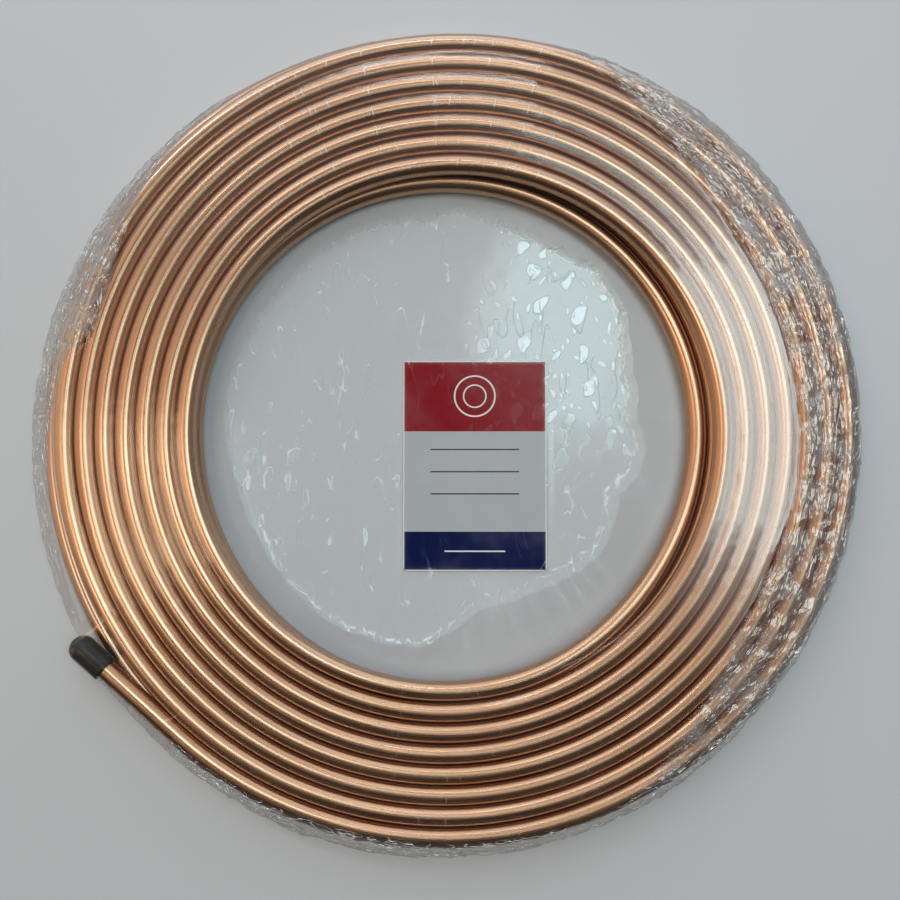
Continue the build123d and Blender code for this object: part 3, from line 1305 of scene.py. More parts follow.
@dataclass(frozen=True)
class EndCap:
    """Domed rubber cap pushed over the free end."""

    wall: float = 1.4
    clearance: float = 0.15
    tube_radius: float = 4.7625
    grip: float = 14.5
    lip: float = 0.6  # thickness of its rounded mouth
    cuff: float = 1.2  # its side starts this far from its mouth
    waist: float = 0.10  # how far its side is drawn in
    seam: float = 0.05  # height of its mould seams
    seam_width: float = 0.05  # as a share of its radius
    rings: int = 14
    sides: int = 64

    @property
    def inner_radius(self) -> float:
        """Radius of its hollow."""
        return self.tube_radius + self.clearance

    @property
    def outer_radius(self) -> float:
        """Radius of its outside."""
        return self.inner_radius + self.wall

    def profile(self) -> list[tuple[float, float]]:
        """Radius and distance along the axis, from the hollow's end round to the dome's tip.

        Returns:
            The places of its outline.
        """
        outer, inner, half = self.outer_radius, self.inner_radius, self.lip / 2
        points = [(0.0, 0.0), (inner * 0.6, 0.0), (inner, 0.0), (inner, -self.grip + 0.3)]
        for step in range(5):
            turn = math.radians(180 + step * 45)
            radius = outer - half + half * math.cos(turn)
            points.append((max(radius, inner), -self.grip + half + half * math.sin(turn)))
        for step in range(7):
            along = -self.grip + self.cuff + step * (self.grip - self.cuff) / 6
            points.append((outer - self.waist * math.sin(math.pi * step / 6), along))
        for step in range(1, self.rings):
            rise = math.radians(90 * step / self.rings)
            points.append((outer * math.cos(rise), outer * math.sin(rise)))
        return points + [(0.0, outer)]

    def build(self, winding: Winding) -> Piece:
        """Turn the cap about the free end's own line.

        Args:
            winding: The tube that it is pushed over.

        Returns:
            The cap.
        """
        root, tip = winding.tail_ends()
        way = (tip - root) / np.linalg.norm(tip - root)
        side, up = square_to(way)
        base = tip + way * self.clearance
        cosine, sine = round_section(self.sides)
        seam = np.exp(-((cosine / self.seam_width) ** 2)) * self.seam
        outline = self.profile()
        points = [base + way * outline[0][1]]
        strand = [np.array([0.0, 0.0, 0.0])]
        for radius, along in outline[1:-1]:
            ridge = seam if radius > self.inner_radius + 0.5 else 0.0
            points.append(base + way * along + (radius + ridge) * (cosine * side + sine * up))
            strand.append(np.hstack([np.full((self.sides, 1), along), radius * cosine, radius * sine]))
        points.append(base + way * outline[-1][1])
        strand.append(np.array([outline[-1][1], 0.0, 0.0]))
        rows = len(outline) - 2
        faces = [tuple(1 + number for number in face) for face in grid_faces(rows, self.sides)]
        last = 1 + (rows - 1) * self.sides
        for column in range(self.sides):
            beside = (column + 1) % self.sides
            faces.append((0, 1 + beside, 1 + column))
            faces.append((last + column, last + beside, last + self.sides))
        piece = mesh_piece("rubber_cap", np.vstack(points), faces)
        set_values(piece, "strand", np.vstack(strand) * MM)
        return piece

    def dress(self, piece: Piece, finish: Material) -> None:
        """Give the cap its finish and its place in the model.

        Args:
            piece: The piece.
            finish: Its material.
        """
        piece.data.materials.append(finish)
        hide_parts("end_cap")
        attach(piece, BODY)


@dataclass(frozen=True)
class CrushedBand:
    """Region of crushed film, outside a line round the coil."""

    inner_edge: Pairs
    strength: Pairs
    softness: float = 2.5

    def share(self, radius: np.ndarray, degrees: np.ndarray) -> np.ndarray:
        """How crushed the film is at a distance and angle from the middle, from 0 to 1.

        Args:
            radius: Distances from the middle.
            degrees: Angles about the middle.

        Returns:
            The share at each place.
        """
        edge = round_the_circle(self.inner_edge, degrees)
        inside = smooth_step(-self.softness, self.softness, radius - edge)
        return inside * round_the_circle(self.strength, degrees)


RIGHT_BAND = CrushedBand(
    inner_edge=(
        (-100, 205), (-75, 200), (-62, 192), (-50, 178), (-35, 166), (-20, 165), (-12, 168), (2, 167.5),
        (21, 165), (36, 166), (48, 171), (59, 178.5), (67, 189), (80, 198), (100, 205),
    ),
    strength=(
        (-100, 0), (-70, 0.6), (-55, 0.9), (-30, 0.8), (-10, 0.9), (20, 1), (45, 1), (62, 0.9), (80, 0.5),
        (100, 0),
    ),
)
BOTTOM_BAND = CrushedBand(
    inner_edge=((205, 206), (225, 198), (240, 196), (265, 194.5), (285, 195), (300, 199), (310, 206)),
    strength=((205, 0), (222, 0.6), (240, 1), (270, 0.9), (290, 0.6), (305, 0.3), (312, 0)),
)
LEFT_BAND = CrushedBand(
    inner_edge=(
        (100, 205), (120, 199), (135, 193), (150, 182), (158, 175.5), (165, 177), (169, 187), (175, 192),
        (190, 198), (215, 205),
    ),
    strength=(
        (94, 0), (108, 0.4), (120, 0.7), (135, 0.9), (155, 1), (170, 1), (185, 0.6), (205, 0.2), (215, 0),
    ),
)

# Where the sheets in the eye stop clinging together: angle and distance from the middle.
CLING_EDGE = (
    (-3, 92), (4, 87), (19, 91), (37, 103), (48, 108), (60, 104), (74, 105), (88, 110), (95, 105), (112, 109),
    (143, 108), (177, 110), (190, 106), (212, 105), (238, 108), (263, 104), (269, 96), (280, 83), (300, 84),
    (321, 90), (340, 83), (348, 90),
)
# How plain the radial creases' painted glints are, the painted glitter along the patch's edge, and the
# painted light on the pale slope out of the eye.
TICKS = (
    (0, 0.1), (40, 0.12), (62, 0.5), (76, 1.0), (112, 1.0), (128, 0.5), (150, 0.08), (172, 0.15), (190, 0.0),
    (245, 0.0), (262, 0.2), (278, 0.25), (295, 0.1), (330, 0.0),
)
BRINK = (
    (0, 0.7), (25, 1.0), (70, 1.0), (85, 0.7), (110, 0.6), (135, 0.4), (165, 0.55), (200, 0.5), (222, 0.65),
    (250, 0.9), (268, 0.8), (285, 0.5), (320, 0.75), (345, 0.9),
)
# Painted light that makes the plain film on the slope out of the eye paler, most towards the top.
PAINTED_PALE_LIGHT = ((0, 0.0), (35, 0.1), (60, 0.45), (90, 0.75), (125, 0.6), (165, 0.35), (200, 0.15), (240, 0.0))
ZONES = (FilmZone.OVER_TURNS, FilmZone.CLINGING, FilmZone.CRUSHED, FilmZone.PLAIN)


@dataclass(frozen=True)
class FilmSizes:
    """Driving sizes of the film bag."""

    place: tuple[float, float] = (-5.0, -5.0)  # middle of the rim
    rim_radius: float = 203.4
    rim_wear: float = 1.6  # how far its ragged edge comes in
    rim_height: float = 0.9
    taut_gap: float = 0.25  # kept from the tube where the film is taut
    least_gap: float = 0.12  # kept from the tube where it sags
    box_gap: float = 0.05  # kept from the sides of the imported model's box
    ceiling: float = 23.1
    eye_height: float = 0.6
    card_height: float = 0.97
    brow_width: float = 16.0  # the film starts down to the wall this far inside it
    cling_wear: float = 2.2  # how ragged the clinging patch's edge is
    cling_reach: float = 112.0  # farthest that it comes
    brink_width: float = 2.2  # of the painted glitter along it
    sag: float = 0.22
    pucker: float = 0.055
    top_fold: float = 2.6  # height of the crushed film's folds on the top
    wall_fold: float = 3.2  # how far they stand out from the wall
    wall_ripple: float = 0.5
    wall_milk: float = 0.5  # share of the milkiness that the wall has
    cuts: tuple[float, float] = (0.46, 0.408)  # metres across the upper and the lower sheet, laid flat


class FilmBag:
    """The clear film: a sheet over the coil and one under it, joined round a ragged rim."""

    ANGLES = 680
    EYE_RINGS, SLOPE_RINGS, SHOULDER_RINGS, TOP_RINGS, WALL_RINGS = 54, 14, 5, 52, 19
    LOWER_RINGS = 36
    CALM_SPOKES = 41

    def __init__(
        self, winding: Winding, cap: EndCap, card: tuple[Vector, Vector], sizes: FilmSizes, seed: int = 5
    ) -> None:
        """Keep what the film lies on.

        Args:
            winding: The tube.
            cap: The rubber cap.
            card: Lowest and highest corner of the label card, in metres.
            sizes: Driving sizes.
            seed: Seed of its creases.
        """
        self.winding, self.cap, self.sizes = winding, cap, sizes
        self.card = [np.array(corner) / MM for corner in card]
        self.beads = winding.free_end_beads(cap)
        self.bend = winding.tube_radius + sizes.taut_gap
        self.grain = Grain(seed)
        self.degrees = self._angles()

    def _angles(self) -> np.ndarray:
        """Angles of the mesh's spokes, closer together where the film is crushed.

        Returns:
            The angles in degrees.
        """
        even = np.linspace(0, 360, 3601)
        crushed = round_the_circle(RIGHT_BAND.strength, even) + round_the_circle(LEFT_BAND.strength, even)
        dense = np.cumsum(1 + 0.9 * np.clip(crushed, 0, 1))
        dense = (dense - dense[0]) / (dense[-1] - dense[0])
        return np.interp(np.linspace(0, 1, self.ANGLES, endpoint=False), dense, even)

    def _ragged(self, scale: float, shift: float) -> np.ndarray:
        """Smooth noise round the circle, one number for each spoke."""
        turn = np.radians(self.degrees)
        return self.grain.smooth(np.cos(turn) * scale + shift, np.sin(turn) * scale + shift)

    def rim(self) -> np.ndarray:
        """Distance of the rim from the origin, at each spoke.

        Returns:
            The distances.
        """
        turn = np.radians(self.degrees)
        ragged = self._ragged(9, 20) + 0.5 * self._ragged(30, 60)
        radius = self.sizes.rim_radius - self.sizes.rim_wear * np.abs(ragged)
        along = self.sizes.place[0] * np.cos(turn) + self.sizes.place[1] * np.sin(turn)
        return along + np.sqrt(radius**2 - sum(part**2 for part in self.sizes.place) + along**2)

    def cling_edge(self) -> np.ndarray:
        """Distance of the clinging patch's ragged edge from the origin, at each spoke.

        Returns:
            The distances.
        """
        ragged = self._ragged(14, 90) + 0.6 * np.abs(self._ragged(40, 120))
        edge = round_the_circle(CLING_EDGE, self.degrees) + self.sizes.cling_wear * ragged
        return np.minimum(edge, self.sizes.cling_reach)

    def inner_crest(self) -> np.ndarray:
        """Distance of the innermost upper turn's crest from the origin, at each spoke.

        Returns:
            The distances.
        """
        turns = self.winding.upper_turns
        back, front = self.winding.upper_back(turns - 1), self.winding.upper_front(turns - 1)
        last = self.winding.upper_front(turns)
        turned = np.mod(self.degrees, 360)
        away = smooth_step(last.end, last.end + 45, turned)
        front_reach = last.reach(self.degrees) * (1 - away) + front.reach(self.degrees) * away
        return np.where(turned <= 180, back.reach(self.degrees), front_reach)

    def _supports(self, rim: np.ndarray) -> list[tuple[np.ndarray, float, np.ndarray]]:
        """List the round things that hold the film out, cut through along each spoke.

        Args:
            rim: Distance of the rim at each spoke.

        Returns:
            Distance, height and radius of each, the first and last for every spoke.
        """
        turn = np.radians(self.degrees)
        circles = []
        for arcs in (self.winding.upper_arcs(), self.winding.lower_arcs()):
            reaches = [np.where(arc.holds(self.degrees), arc.reach(self.degrees), 0) for arc in arcs]
            circles.append((np.max(reaches, axis=0), arcs[0].height, np.full(self.ANGLES, self.bend)))
        for middle, bead in self.beads:
            along = middle[0] * np.cos(turn) + middle[1] * np.sin(turn)
            beside = middle[1] * np.cos(turn) - middle[0] * np.sin(turn)
            spare = (bead + self.sizes.taut_gap) ** 2 - beside**2
            near = (spare > 0) & (along > 0)
            circles.append((np.where(near, along, 0), middle[2], np.where(near, np.sqrt(np.abs(spare)), 0)))
        return circles + [(rim, self.sizes.rim_height, np.zeros(self.ANGLES))]

    def wall(self, rim: np.ndarray) -> np.ndarray:
        """Taut outline round the outside of the coil, from its top down to the rim.

        Args:
            rim: Distance of the rim at each spoke.

        Returns:
            Distance and height, for each spoke and each of the wall's rings.
        """
        aim = np.radians(np.linspace(90, -40, 90))
        best = np.full((self.ANGLES, len(aim)), -1e9)
        found = np.zeros((self.ANGLES, len(aim), 2))
        for reach, height, radius in self._supports(rim):
            support = np.outer(reach, np.cos(aim)) + height * np.sin(aim) + radius[:, None]
            outward = reach[:, None] + np.outer(radius, np.cos(aim))
            spots = np.stack([outward, height + np.outer(radius, np.sin(aim))], -1)
            nearer = support > best
            best = np.where(nearer, support, best)
            found = np.where(nearer[..., None], spots, found)
        return np.array([self._spaced(chain) for chain in found])

    def _spaced(self, chain: np.ndarray) -> np.ndarray:
        """One spoke's outline as evenly spaced places.

        Args:
            chain: Distance and height of places along it.

        Returns:
            The same for the wall's rings.
        """
        lengths = np.concatenate([[0], np.cumsum(np.hypot(*np.diff(chain, axis=0).T) + 1e-9)])
        even = np.linspace(0, lengths[-1], self.WALL_RINGS + 1)
        return np.column_stack([np.interp(even, lengths, chain[:, part]) for part in (0, 1)])

    def crushed(self, radius: np.ndarray, degrees: np.ndarray) -> np.ndarray:
        """How crushed the film is, from 0 to 1."""
        bands = (RIGHT_BAND, LEFT_BAND, BOTTOM_BAND)
        return np.clip(sum(band.share(radius, degrees) for band in bands), 0, 1)

    def creasing(self, x: np.ndarray, y: np.ndarray) -> np.ndarray:
        """Height of the crushed film's folds, from 0 to about 1.

        Args:
            x: Unrolled places, so that the wall is creased like the top.
            y: The same, across.

        Returns:
            The height at each place.
        """
        degrees, radius = np.degrees(np.arctan2(y, x)), np.hypot(x, y)
        around = degrees / 360 * Grain.SIZE
        bent = radius + 3.0 * self.grain.smooth(x / 17, y / 17)
        long_folds = self.grain.facets(around * 0.5, bent / 7.0)
        small_folds = self.grain.facets(x / 4.1 + 30, y / 4.1 + 60)
        ridges = self.grain.ridges(x / 11 + 5, y / 11 + 9)
        return 0.42 + 0.38 * long_folds + 0.20 * small_folds + 0.25 * ridges

    def _eye_rings(self, edge: np.ndarray) -> list:
        """Distance and height of the rings in the eye, out to the edge of the clinging patch."""
        level = np.full(self.ANGLES, self.sizes.eye_height)
        return [(edge * ((step + 1) / self.EYE_RINGS) ** 0.85, level) for step in range(self.EYE_RINGS)]

    def _slope_rings(self, edge: np.ndarray, crest: np.ndarray) -> list:
        """Rings of the straight slope out of the eye and of its bend over the innermost turn.

        Args:
            edge: Distance of the clinging patch's edge at each spoke.
            crest: Distance of the innermost turn's crest at each spoke.

        Returns:
            Distance and height of each ring.
        """
        foot, top = self.sizes.eye_height, self.winding.upper_z
        length = np.hypot(crest - edge, top - foot)
        lean = np.arctan2(top - foot, crest - edge) + np.arcsin(self.bend / length)
        straight = np.sqrt(length**2 - self.bend**2)
        rings = []
        for step in range(1, self.SLOPE_RINGS + 1):
            share = step / self.SLOPE_RINGS
            rings.append((edge + straight * np.cos(lean) * share, foot + straight * np.sin(lean) * share))
        for step in range(1, self.SHOULDER_RINGS + 1):
            turn = lean + math.pi / 2 - lean * step / self.SHOULDER_RINGS
            rings.append((crest + self.bend * np.cos(turn), top + self.bend * np.sin(turn)))
        return rings

    def _top_rings(self, crest: np.ndarray, brow: np.ndarray, brow_height: np.ndarray) -> list:
        """Rings over the turns, out to the brow of the wall.

        The brow jumps in where the free end leaves, so the rings follow its running mean, and take up
        the jump only beside it.

        Args:
            crest: Distance of the innermost turn's crest at each spoke.
            brow: Distance of the top of the wall at each spoke.
            brow_height: Its height at each spoke.

        Returns:
            Distance and height of each ring.
        """
        flat, window = self.winding.upper_z + self.bend, np.ones(self.CALM_SPOKES) / self.CALM_SPOKES
        calm = np.convolve(np.tile(brow, 3), window, "same")[self.ANGLES : 2 * self.ANGLES]
        rings = []
        for step in range(1, self.TOP_RINGS + 1):
            share = step / self.TOP_RINGS
            radius = crest + (calm - crest) * share + (brow - calm) * share**6
            near = smooth_step(-self.sizes.brow_width, 0, radius - brow)
            rings.append((radius, flat + (brow_height - flat) * near))
        return rings

    def upper_rings(self) -> tuple[np.ndarray, np.ndarray, np.ndarray]:
        """Distance, height and unrolled distance of every ring of the upper sheet, spoke by spoke.

        Returns:
            The three, one row for each ring.
        """
        edge, crest = self.cling_edge(), self.inner_crest()
        wall = self.wall(self.rim())
        rings = self._eye_rings(edge) + self._slope_rings(edge, crest) + self._top_rings(crest, *wall[:, 0].T)
        rings += [tuple(wall[:, step].T) for step in range(1, self.WALL_RINGS + 1)]
        radius, height = (np.array([ring[part] for ring in rings]) for part in (0, 1))
        steps = np.hypot(np.diff(radius, axis=0), np.diff(height, axis=0))
        unrolled = radius[0] + np.vstack([np.zeros(self.ANGLES), np.cumsum(steps, axis=0)])
        return radius, height, unrolled

    def build_upper(self) -> Piece:
        """Make the sheet over the coil, down its outside to the rim.

        Returns:
            The sheet.
        """
        sizes, smooth = self.sizes, self.grain.smooth
        radius, height, unrolled = self.upper_rings()
        turn, degrees = np.radians(self.degrees), np.broadcast_to(self.degrees, radius.shape)
        flat_x, flat_y = unrolled * np.cos(turn), unrolled * np.sin(turn)
        row = np.arange(len(radius))[:, None]
        first_wall = self.EYE_RINGS + self.SLOPE_RINGS + self.SHOULDER_RINGS + self.TOP_RINGS
        in_eye, on_wall = row < self.EYE_RINGS, row >= first_wall
        on_top = (row >= self.EYE_RINGS + self.SLOPE_RINGS) & ~on_wall

        crushed, sag = self.crushed(radius, degrees), self._sag(radius, degrees)
        folds = self.creasing(flat_x, flat_y)
        puckers = smooth(flat_x / 7 + 11, flat_y / 7 + 3) + 0.5 * smooth(flat_x / 3, flat_y / 3)
        raised = height - sizes.sag * sag + sizes.pucker * puckers
        raised = raised + sizes.top_fold * crushed * np.clip(folds, 0, 1.15)
        height = np.where(on_top, raised, height)
        swell = np.sin(np.pi * np.clip((row - first_wall) / self.WALL_RINGS, 0, 1))
        push = crushed * np.clip(folds, 0, 1) * sizes.wall_fold * swell**0.5
        push += sizes.wall_ripple * np.abs(smooth(flat_x / 9, flat_y / 9)) * swell
        radius = np.where(on_wall & (row < len(radius) - 1), radius + push, radius)
        x, y = radius * np.cos(turn), radius * np.sin(turn)
        height = np.where(in_eye, self._eye_height(x, y), height)
        above = self.winding.cover(x, y, self.beads, sizes.least_gap)
        height = np.where(in_eye | on_wall, height, np.maximum(height, above))
        low, high = (np.array(corner) / MM for corner in cad_box)
        x = np.clip(x, low[0] + sizes.box_gap, high[0] - sizes.box_gap)
        y = np.clip(y, low[1] + sizes.box_gap, high[1] - sizes.box_gap)

        height = np.clip(height, None, sizes.ceiling)
        piece = self._closed("film_over_coil", x, y, height, height[0].mean())
        steep = smooth_step(0.25, 0.6, (row - self.EYE_RINGS) / self.SLOPE_RINGS)
        brink = np.exp(-(((unrolled - unrolled[self.EYE_RINGS - 1]) / sizes.brink_width) ** 2))
        pressed = np.clip(1 - 1.6 * sag, 0, 1) * (1 - crushed) * on_top
        marks = {
            "crushed": crushed,
            "milk_and_shade": crushed * np.where(on_wall, sizes.wall_milk, 1.0),
            "painted_veil": self._painted_veil(radius, degrees),
            # painted light on the plain film, paler towards the top of the eye
            "pale": round_the_circle(PAINTED_PALE_LIGHT, degrees) * (1 - steep),
            "steep": np.broadcast_to(steep, radius.shape),
            "pressed": pressed * round_the_circle(TICKS, degrees),
            "brink": brink * round_the_circle(BRINK, degrees),
            "air_and_sheen": self._airy(x, y),
            "loose": self._loose(x, y),
            "smear": 0.5 + 0.7 * smooth(flat_x / 30 + 40, flat_y / 30 + 40),
        }
        for name, values in marks.items():
            set_values(piece, name, np.append(values, values[0].mean()))
        set_values(piece, "sheet", self._sheet_places(flat_x, flat_y))
        tip = self.winding.tail_ends()[1]
        self._share_out(piece, crushed, np.hypot(x - tip[0], y - tip[1]) < self.cap.grip)
        return piece

    def _closed(
        self, name: str, x: np.ndarray, y: np.ndarray, height: np.ndarray, hub: float, faces_up: bool = True
    ) -> Piece:
        """Make a sheet of rings of points, closed round a hub in its middle.

        Args:
            name: Name of the piece.
            x: Places of its points, one row for each ring.
            y: The same, across.
            height: Their heights.
            hub: Height of the hub.
            faces_up: False for a sheet that is seen from below.

        Returns:
            The piece. Its last point is the hub, and its last faces lie round the hub.
        """
        rings = np.column_stack([x.ravel(), y.ravel(), height.ravel()])
        faces = grid_faces(len(x), self.ANGLES)
        faces += [(len(rings), column, (column + 1) % self.ANGLES) for column in range(self.ANGLES)]
        if not faces_up:
            faces = [face[::-1] for face in faces]
        return mesh_piece(name, np.vstack([rings, [0.0, 0.0, hub]]), faces)

    def _share_out(self, piece: Piece, crushed: np.ndarray, capped: np.ndarray) -> None:
        """Give each face of the upper sheet the number of its zone's finish.

        Args:
            piece: The sheet.
            crushed: How crushed it is at each of its points but the hub.
            capped: True where it lies over the rubber cap.
        """
        number = {zone: ZONES.index(zone) for zone in FilmZone}
        zone = np.where(crushed[:-1] > 0.02, number[FilmZone.CRUSHED], number[FilmZone.OVER_TURNS])
        # the film over the cap takes the plain finish, with its painted shade
        zone = np.where(capped[:-1], number[FilmZone.PLAIN], zone)
        zone[: self.EYE_RINGS + self.SLOPE_RINGS] = number[FilmZone.PLAIN]
        zone[: self.EYE_RINGS + 1] = number[FilmZone.CLINGING]
        middle = np.full(self.ANGLES, number[FilmZone.CLINGING])
        piece.data.polygons.foreach_set("material_index", np.append(zone.ravel(), middle))

    @staticmethod
    def _sheet_places(flat_x: np.ndarray, flat_y: np.ndarray) -> np.ndarray:
        """Places on the film laid flat, in metres, with the hub last."""
        places = np.column_stack([flat_x.ravel(), flat_y.ravel(), np.zeros(flat_x.size)])
        return np.vstack([places, np.zeros(3)]) * MM

    def _sag(self, radius: np.ndarray, degrees: np.ndarray) -> np.ndarray:
        """How far down the film is drawn between the crests of the turns, from 0 to 1.

        Args:
            radius: Distances from the middle.
            degrees: Angles about the middle.

        Returns:
            The share at each place.
        """
        back, front = self.winding.upper_back(0), self.winding.upper_front(0)
        outer = np.where(np.mod(degrees, 360) <= 180, back.reach(degrees), front.reach(degrees))
        return 0.5 - 0.5 * np.cos(2 * math.pi * (outer - radius) / self.winding.pitch)

    def _beyond_card(self, x: np.ndarray, y: np.ndarray) -> np.ndarray:
        """How far places lie outside the card's edges, less than 0 on the card."""
        middle, half = (self.card[0] + self.card[1]) / 2, (self.card[1] - self.card[0]) / 2
        return np.maximum(np.abs(x - middle[0]) - half[0], np.abs(y - middle[1]) - half[1])

    def _eye_height(self, x: np.ndarray, y: np.ndarray) -> np.ndarray:
        """Height of the film in the eye, lifted over the card.

        Args:
            x: Places to look at.
            y: The same, across.

        Returns:
            The height at each place.
        """
        away = self._beyond_card(x, y)
        ripple = 0.12 * self.grain.smooth(x / 13, y / 13) * smooth_step(0.0, 9.0, away)
        lift = self.sizes.card_height - self.sizes.eye_height
        return self.sizes.eye_height + lift * smooth_step(4.0, 0.8, away) + np.maximum(ripple, -0.04)

    def _loose(self, x: np.ndarray, y: np.ndarray) -> np.ndarray:
        """1 beside the card, falling to a little over it, where the film lies smooth."""
        return 0.06 + 0.94 * smooth_step(-2.0, 1.0, self._beyond_card(x, y))

    @staticmethod
    def _airy(x: np.ndarray, y: np.ndarray) -> np.ndarray:
        """How much air is trapped between the clinging sheets, from 0 to 1. It also sets how strongly the
        patch's painted sheen shows.

        Args:
            x: Places to look at.
            y: The same, across.

        Returns:
            The share at each place.
        """
        right = smooth_step(70, 25, np.hypot(x - 55, (y - 42) * 0.7))
        left = 0.6 * smooth_step(40, 14, np.hypot(x + 85, (y + 22) * 0.7))
        return np.maximum(right, left)

    @staticmethod
    def _painted_veil(radius: np.ndarray, degrees: np.ndarray) -> np.ndarray:
        """Where a whitish veil of painted reflection lies over the turns, and the film's mirror share is
        raised, from 0 to 1.

        Args:
            radius: Distances from the middle.
            degrees: Angles about the middle.

        Returns:
            The share at each place.
        """
        turned = np.mod(degrees + 180, 360) - 180
        across = smooth_step(128, 136, radius) * smooth_step(176, 164, radius)
        return across * smooth_step(-48, -15, turned) * smooth_step(62, 25, turned)

    def build_lower(self) -> Piece:
        """Make the sheet under the coil, joined to the upper one round the rim.

        Returns:
            The sheet.
        """
        turn = np.radians(self.degrees)
        share = (np.arange(self.LOWER_RINGS) + 1)[:, None] / self.LOWER_RINGS
        radius = self.rim()[None, :] * share
        x, y = radius * np.cos(turn), radius * np.sin(turn)
        wrinkles = 0.16 * np.abs(self.grain.smooth(x / 21, y / 21)) + 0.05 * self.grain.ridges(x / 30, y / 30)
        outer = smooth_step(0.965, 1.0, share)
        height = (0.05 + wrinkles) * (1 - outer) + self.sizes.rim_height * outer
        piece = self._closed("film_under_coil", x, y, height, 0.1, faces_up=False)
        set_values(piece, "smear", np.append(0.5 + 0.7 * self.grain.smooth(x / 30 + 70, y / 30 + 70), 0.5))
        set_values(piece, "sheet", self._sheet_places(x, y))
        return piece

    def dress(self, pieces: Sequence[Piece], finish: FilmFinish, effects: Effects, tube: Piece) -> None:
        """Give both sheets their finish and their place in the model.

        Args:
            pieces: The upper and the lower sheet.
            finish: The film's finish.
            effects: The shared effects.
            tube: The tube that the upper sheet lies on. Not used.
        """
        finishes = [finish.material(effects, zone) for zone in ZONES]
        for material in finishes:
            pieces[0].data.materials.append(material)
        pieces[1].data.materials.append(finishes[ZONES.index(FilmZone.PLAIN)])
        for piece, cut in zip(pieces, self.sizes.cuts):
            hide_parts("film_wrap")
            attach(piece, BODY)


def facing(place: Sequence[float], target: Sequence[float]) -> Matrix:
    """Placement of a lamp or camera that looks at a target with +Y upwards in its view.

    Args:
        place: Where it stands, in metres.
        target: What it looks at.

    Returns:
        Its matrix.
    """
    way = (Vector(target) - Vector(place)).normalized()
    right = way.cross(Vector((0, 1, 0))).normalized()
    turned = Matrix((right, right.cross(way), -way)).transposed().to_4x4()
    turned.translation = Vector(place)
    return turned


@dataclass(frozen=True)
class Lamp:
    """Soft rectangular lamp that faces a spot on the coil."""

    name: str
    place: Place
    size: tuple[float, float]
    power: float
    colour: Colour
    target: Place = (0.0, 0.0, 0.0)

    def hang(self) -> None:
        """Add the lamp to the scene."""
        light = bpy.data.lights.new(self.name, "AREA")
        light.shape = "RECTANGLE"
        light.size, light.size_y = self.size
        light.energy = self.power
        light.color = self.colour
        lamp = bpy.data.objects.new(self.name, light)
        lamp.matrix_world = facing(self.place, self.target)
        bpy.context.scene.collection.objects.link(lamp)


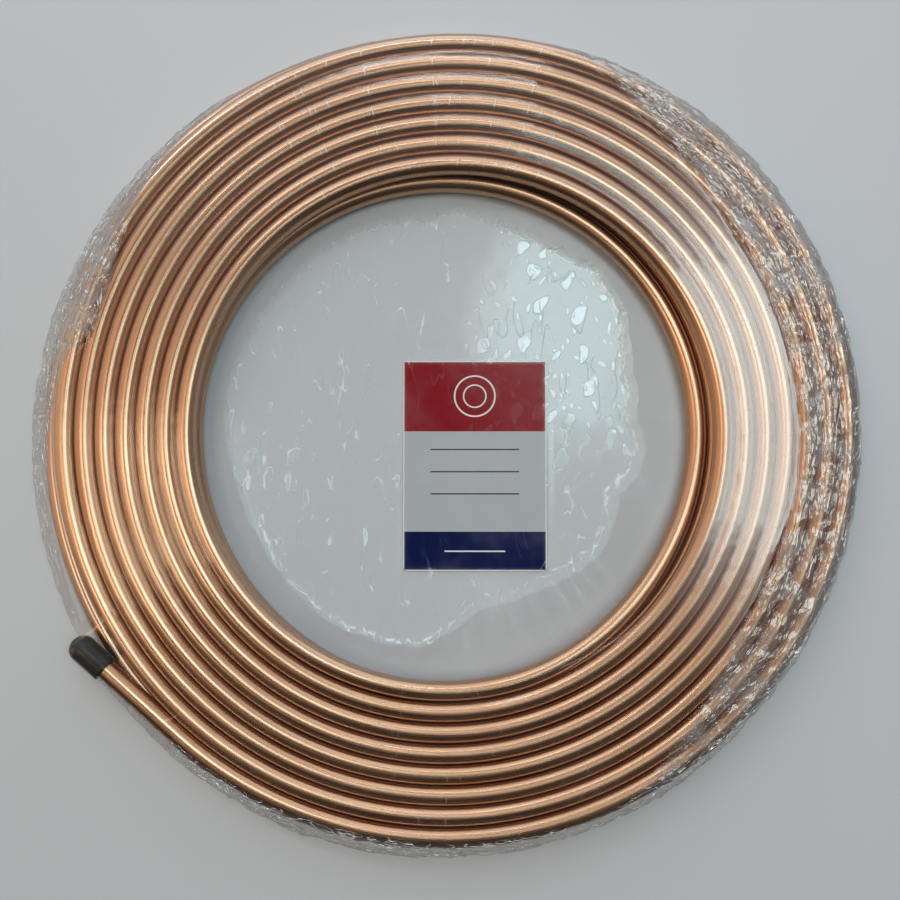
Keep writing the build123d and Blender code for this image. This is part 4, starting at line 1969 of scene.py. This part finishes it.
class Studio:
    """Floor, soft lamps, sky and camera. Lengths here are metres."""

    LAMPS = (
        Lamp("ceiling_panel", (0.23, 0.33, 1.5), (0.28, 0.51), 1.9, (0.80, 0.97, 1.0), (0.05, 0.05, 0.0)),
        Lamp("back_strip", (-0.35, 0.76, 0.85), (1.10, 0.07), 1.7, (1.0, 0.97, 0.92), (-0.05, 0.0, 0.0)),
        Lamp("side_strip", (0.07, 0.02, 1.5), (0.06, 0.80), 0.55, (1.0, 0.99, 0.97), (0.0, 0.0, 0.0)),
        Lamp("window_panel", (0.66, 0.16, 1.5), (0.50, 0.74), 4.2, (0.88, 1.0, 0.97), (0.13, 0.02, 0.0)),
        Lamp("warm_lamp", (-0.70, -0.10, 1.5), (0.34, 0.42), 2.0, (1.0, 0.78, 0.52), (-0.13, -0.03, 0.0)),
        Lamp("back_panel", (-0.1, 1.7, 0.9), (2.4, 1.0), 5.4, (0.92, 0.98, 1.0), (0.0, 0.0, 0.0)),
    )
    DARK_SKY, WARM_SKY, PALE_SKY = (0.035, 0.032, 0.03), (0.95, 0.64, 0.41), (0.55, 0.60, 0.66)
    FLOOR_REACH, FLOOR_DROP = 4.0, 0.00005
    CAMERA_PLACE, CAMERA_TARGET = (0.0068, -0.0194, 0.426), (0.0009, -0.0091, 0.015)
    VIEW_ANGLE = 55.4

    def build(self) -> None:
        """Set the whole studio up."""
        self.lay_floor()
        for lamp in self.LAMPS:
            lamp.hang()
        self.paint_sky()
        self.place_camera()
        bpy.context.scene.view_settings.view_transform = "Standard"

    def lay_floor(self) -> None:
        """Lay a plain pale floor just under the film."""
        reach, height = self.FLOOR_REACH / MM, -self.FLOOR_DROP / MM
        corners = [(x * reach, y * reach, height) for x, y in ((-1, -1), (1, -1), (1, 1), (-1, 1))]
        floor = mesh_piece("floor", np.array(corners), [(0, 1, 2, 3)], Shaping.FACETED)
        floor.data.materials.append(FloorFinish().material())

    def paint_sky(self) -> None:
        """Paint a sky that is bright at the back, warm at the left and dark overhead and in front."""
        world = bpy.data.worlds.new("sky")
        world.use_nodes = True
        graph = Graph(world.node_tree)
        aim = graph.add("ShaderNodeTexCoord").outputs["Generated"]
        parts = graph.parts(aim)
        backwards = graph.between(parts[1], 0.05, 0.60)
        level = graph.between(parts[1], -0.55, 0.05)
        leftwards = graph.times(graph.between(parts[0], -0.08, -0.55), level)
        rightwards = graph.between(parts[0], 0.40, 0.90, (0.0, 0.3))
        colour = graph.mixed(leftwards, self.DARK_SKY, self.WARM_SKY)
        colour = graph.mixed(graph.sum("MAXIMUM", backwards, rightwards), colour, self.PALE_SKY)
        shade = graph.add("ShaderNodeBackground", {"Color": colour, "Strength": 1.0})
        graph.add("ShaderNodeOutputWorld", {"Surface": shade.outputs[0]})
        bpy.context.scene.world = world

    def place_camera(self) -> None:
        """Look down on the coil from the photo's place, a little off the middle."""
        camera = bpy.data.objects.new("camera", bpy.data.cameras.new("camera"))
        camera.data.angle = math.radians(self.VIEW_ANGLE)
        camera.data.clip_start = 0.01
        camera.matrix_world = facing(self.CAMERA_PLACE, self.CAMERA_TARGET)
        bpy.context.scene.collection.objects.link(camera)
        bpy.context.scene.camera = camera


def main() -> None:
    """Build every piece in order and report it."""
    logging.basicConfig(level=logging.INFO, format="%(message)s")
    effects = Effects()
    winding, cap = Winding(), EndCap()

    tube = report(winding.build())
    winding.dress(tube, CopperFinish().material(effects))
    end_cap = report(cap.build(winding))
    cap.dress(end_cap, RubberFinish().material(effects))

    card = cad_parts["label_card"]
    low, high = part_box("label_card")
    finish = CardFinish().material(effects, (low + high) / 2, high - low)
    card.data.materials.clear()
    card.data.materials.append(finish)
    report(card)

    bag = FilmBag(winding, cap, (low, high), FilmSizes())
    sheets = [report(bag.build_upper()), report(bag.build_lower())]
    bag.dress(sheets, FilmFinish(), effects, tube)

    Studio().build()


if __name__ == "__main__":
    main()
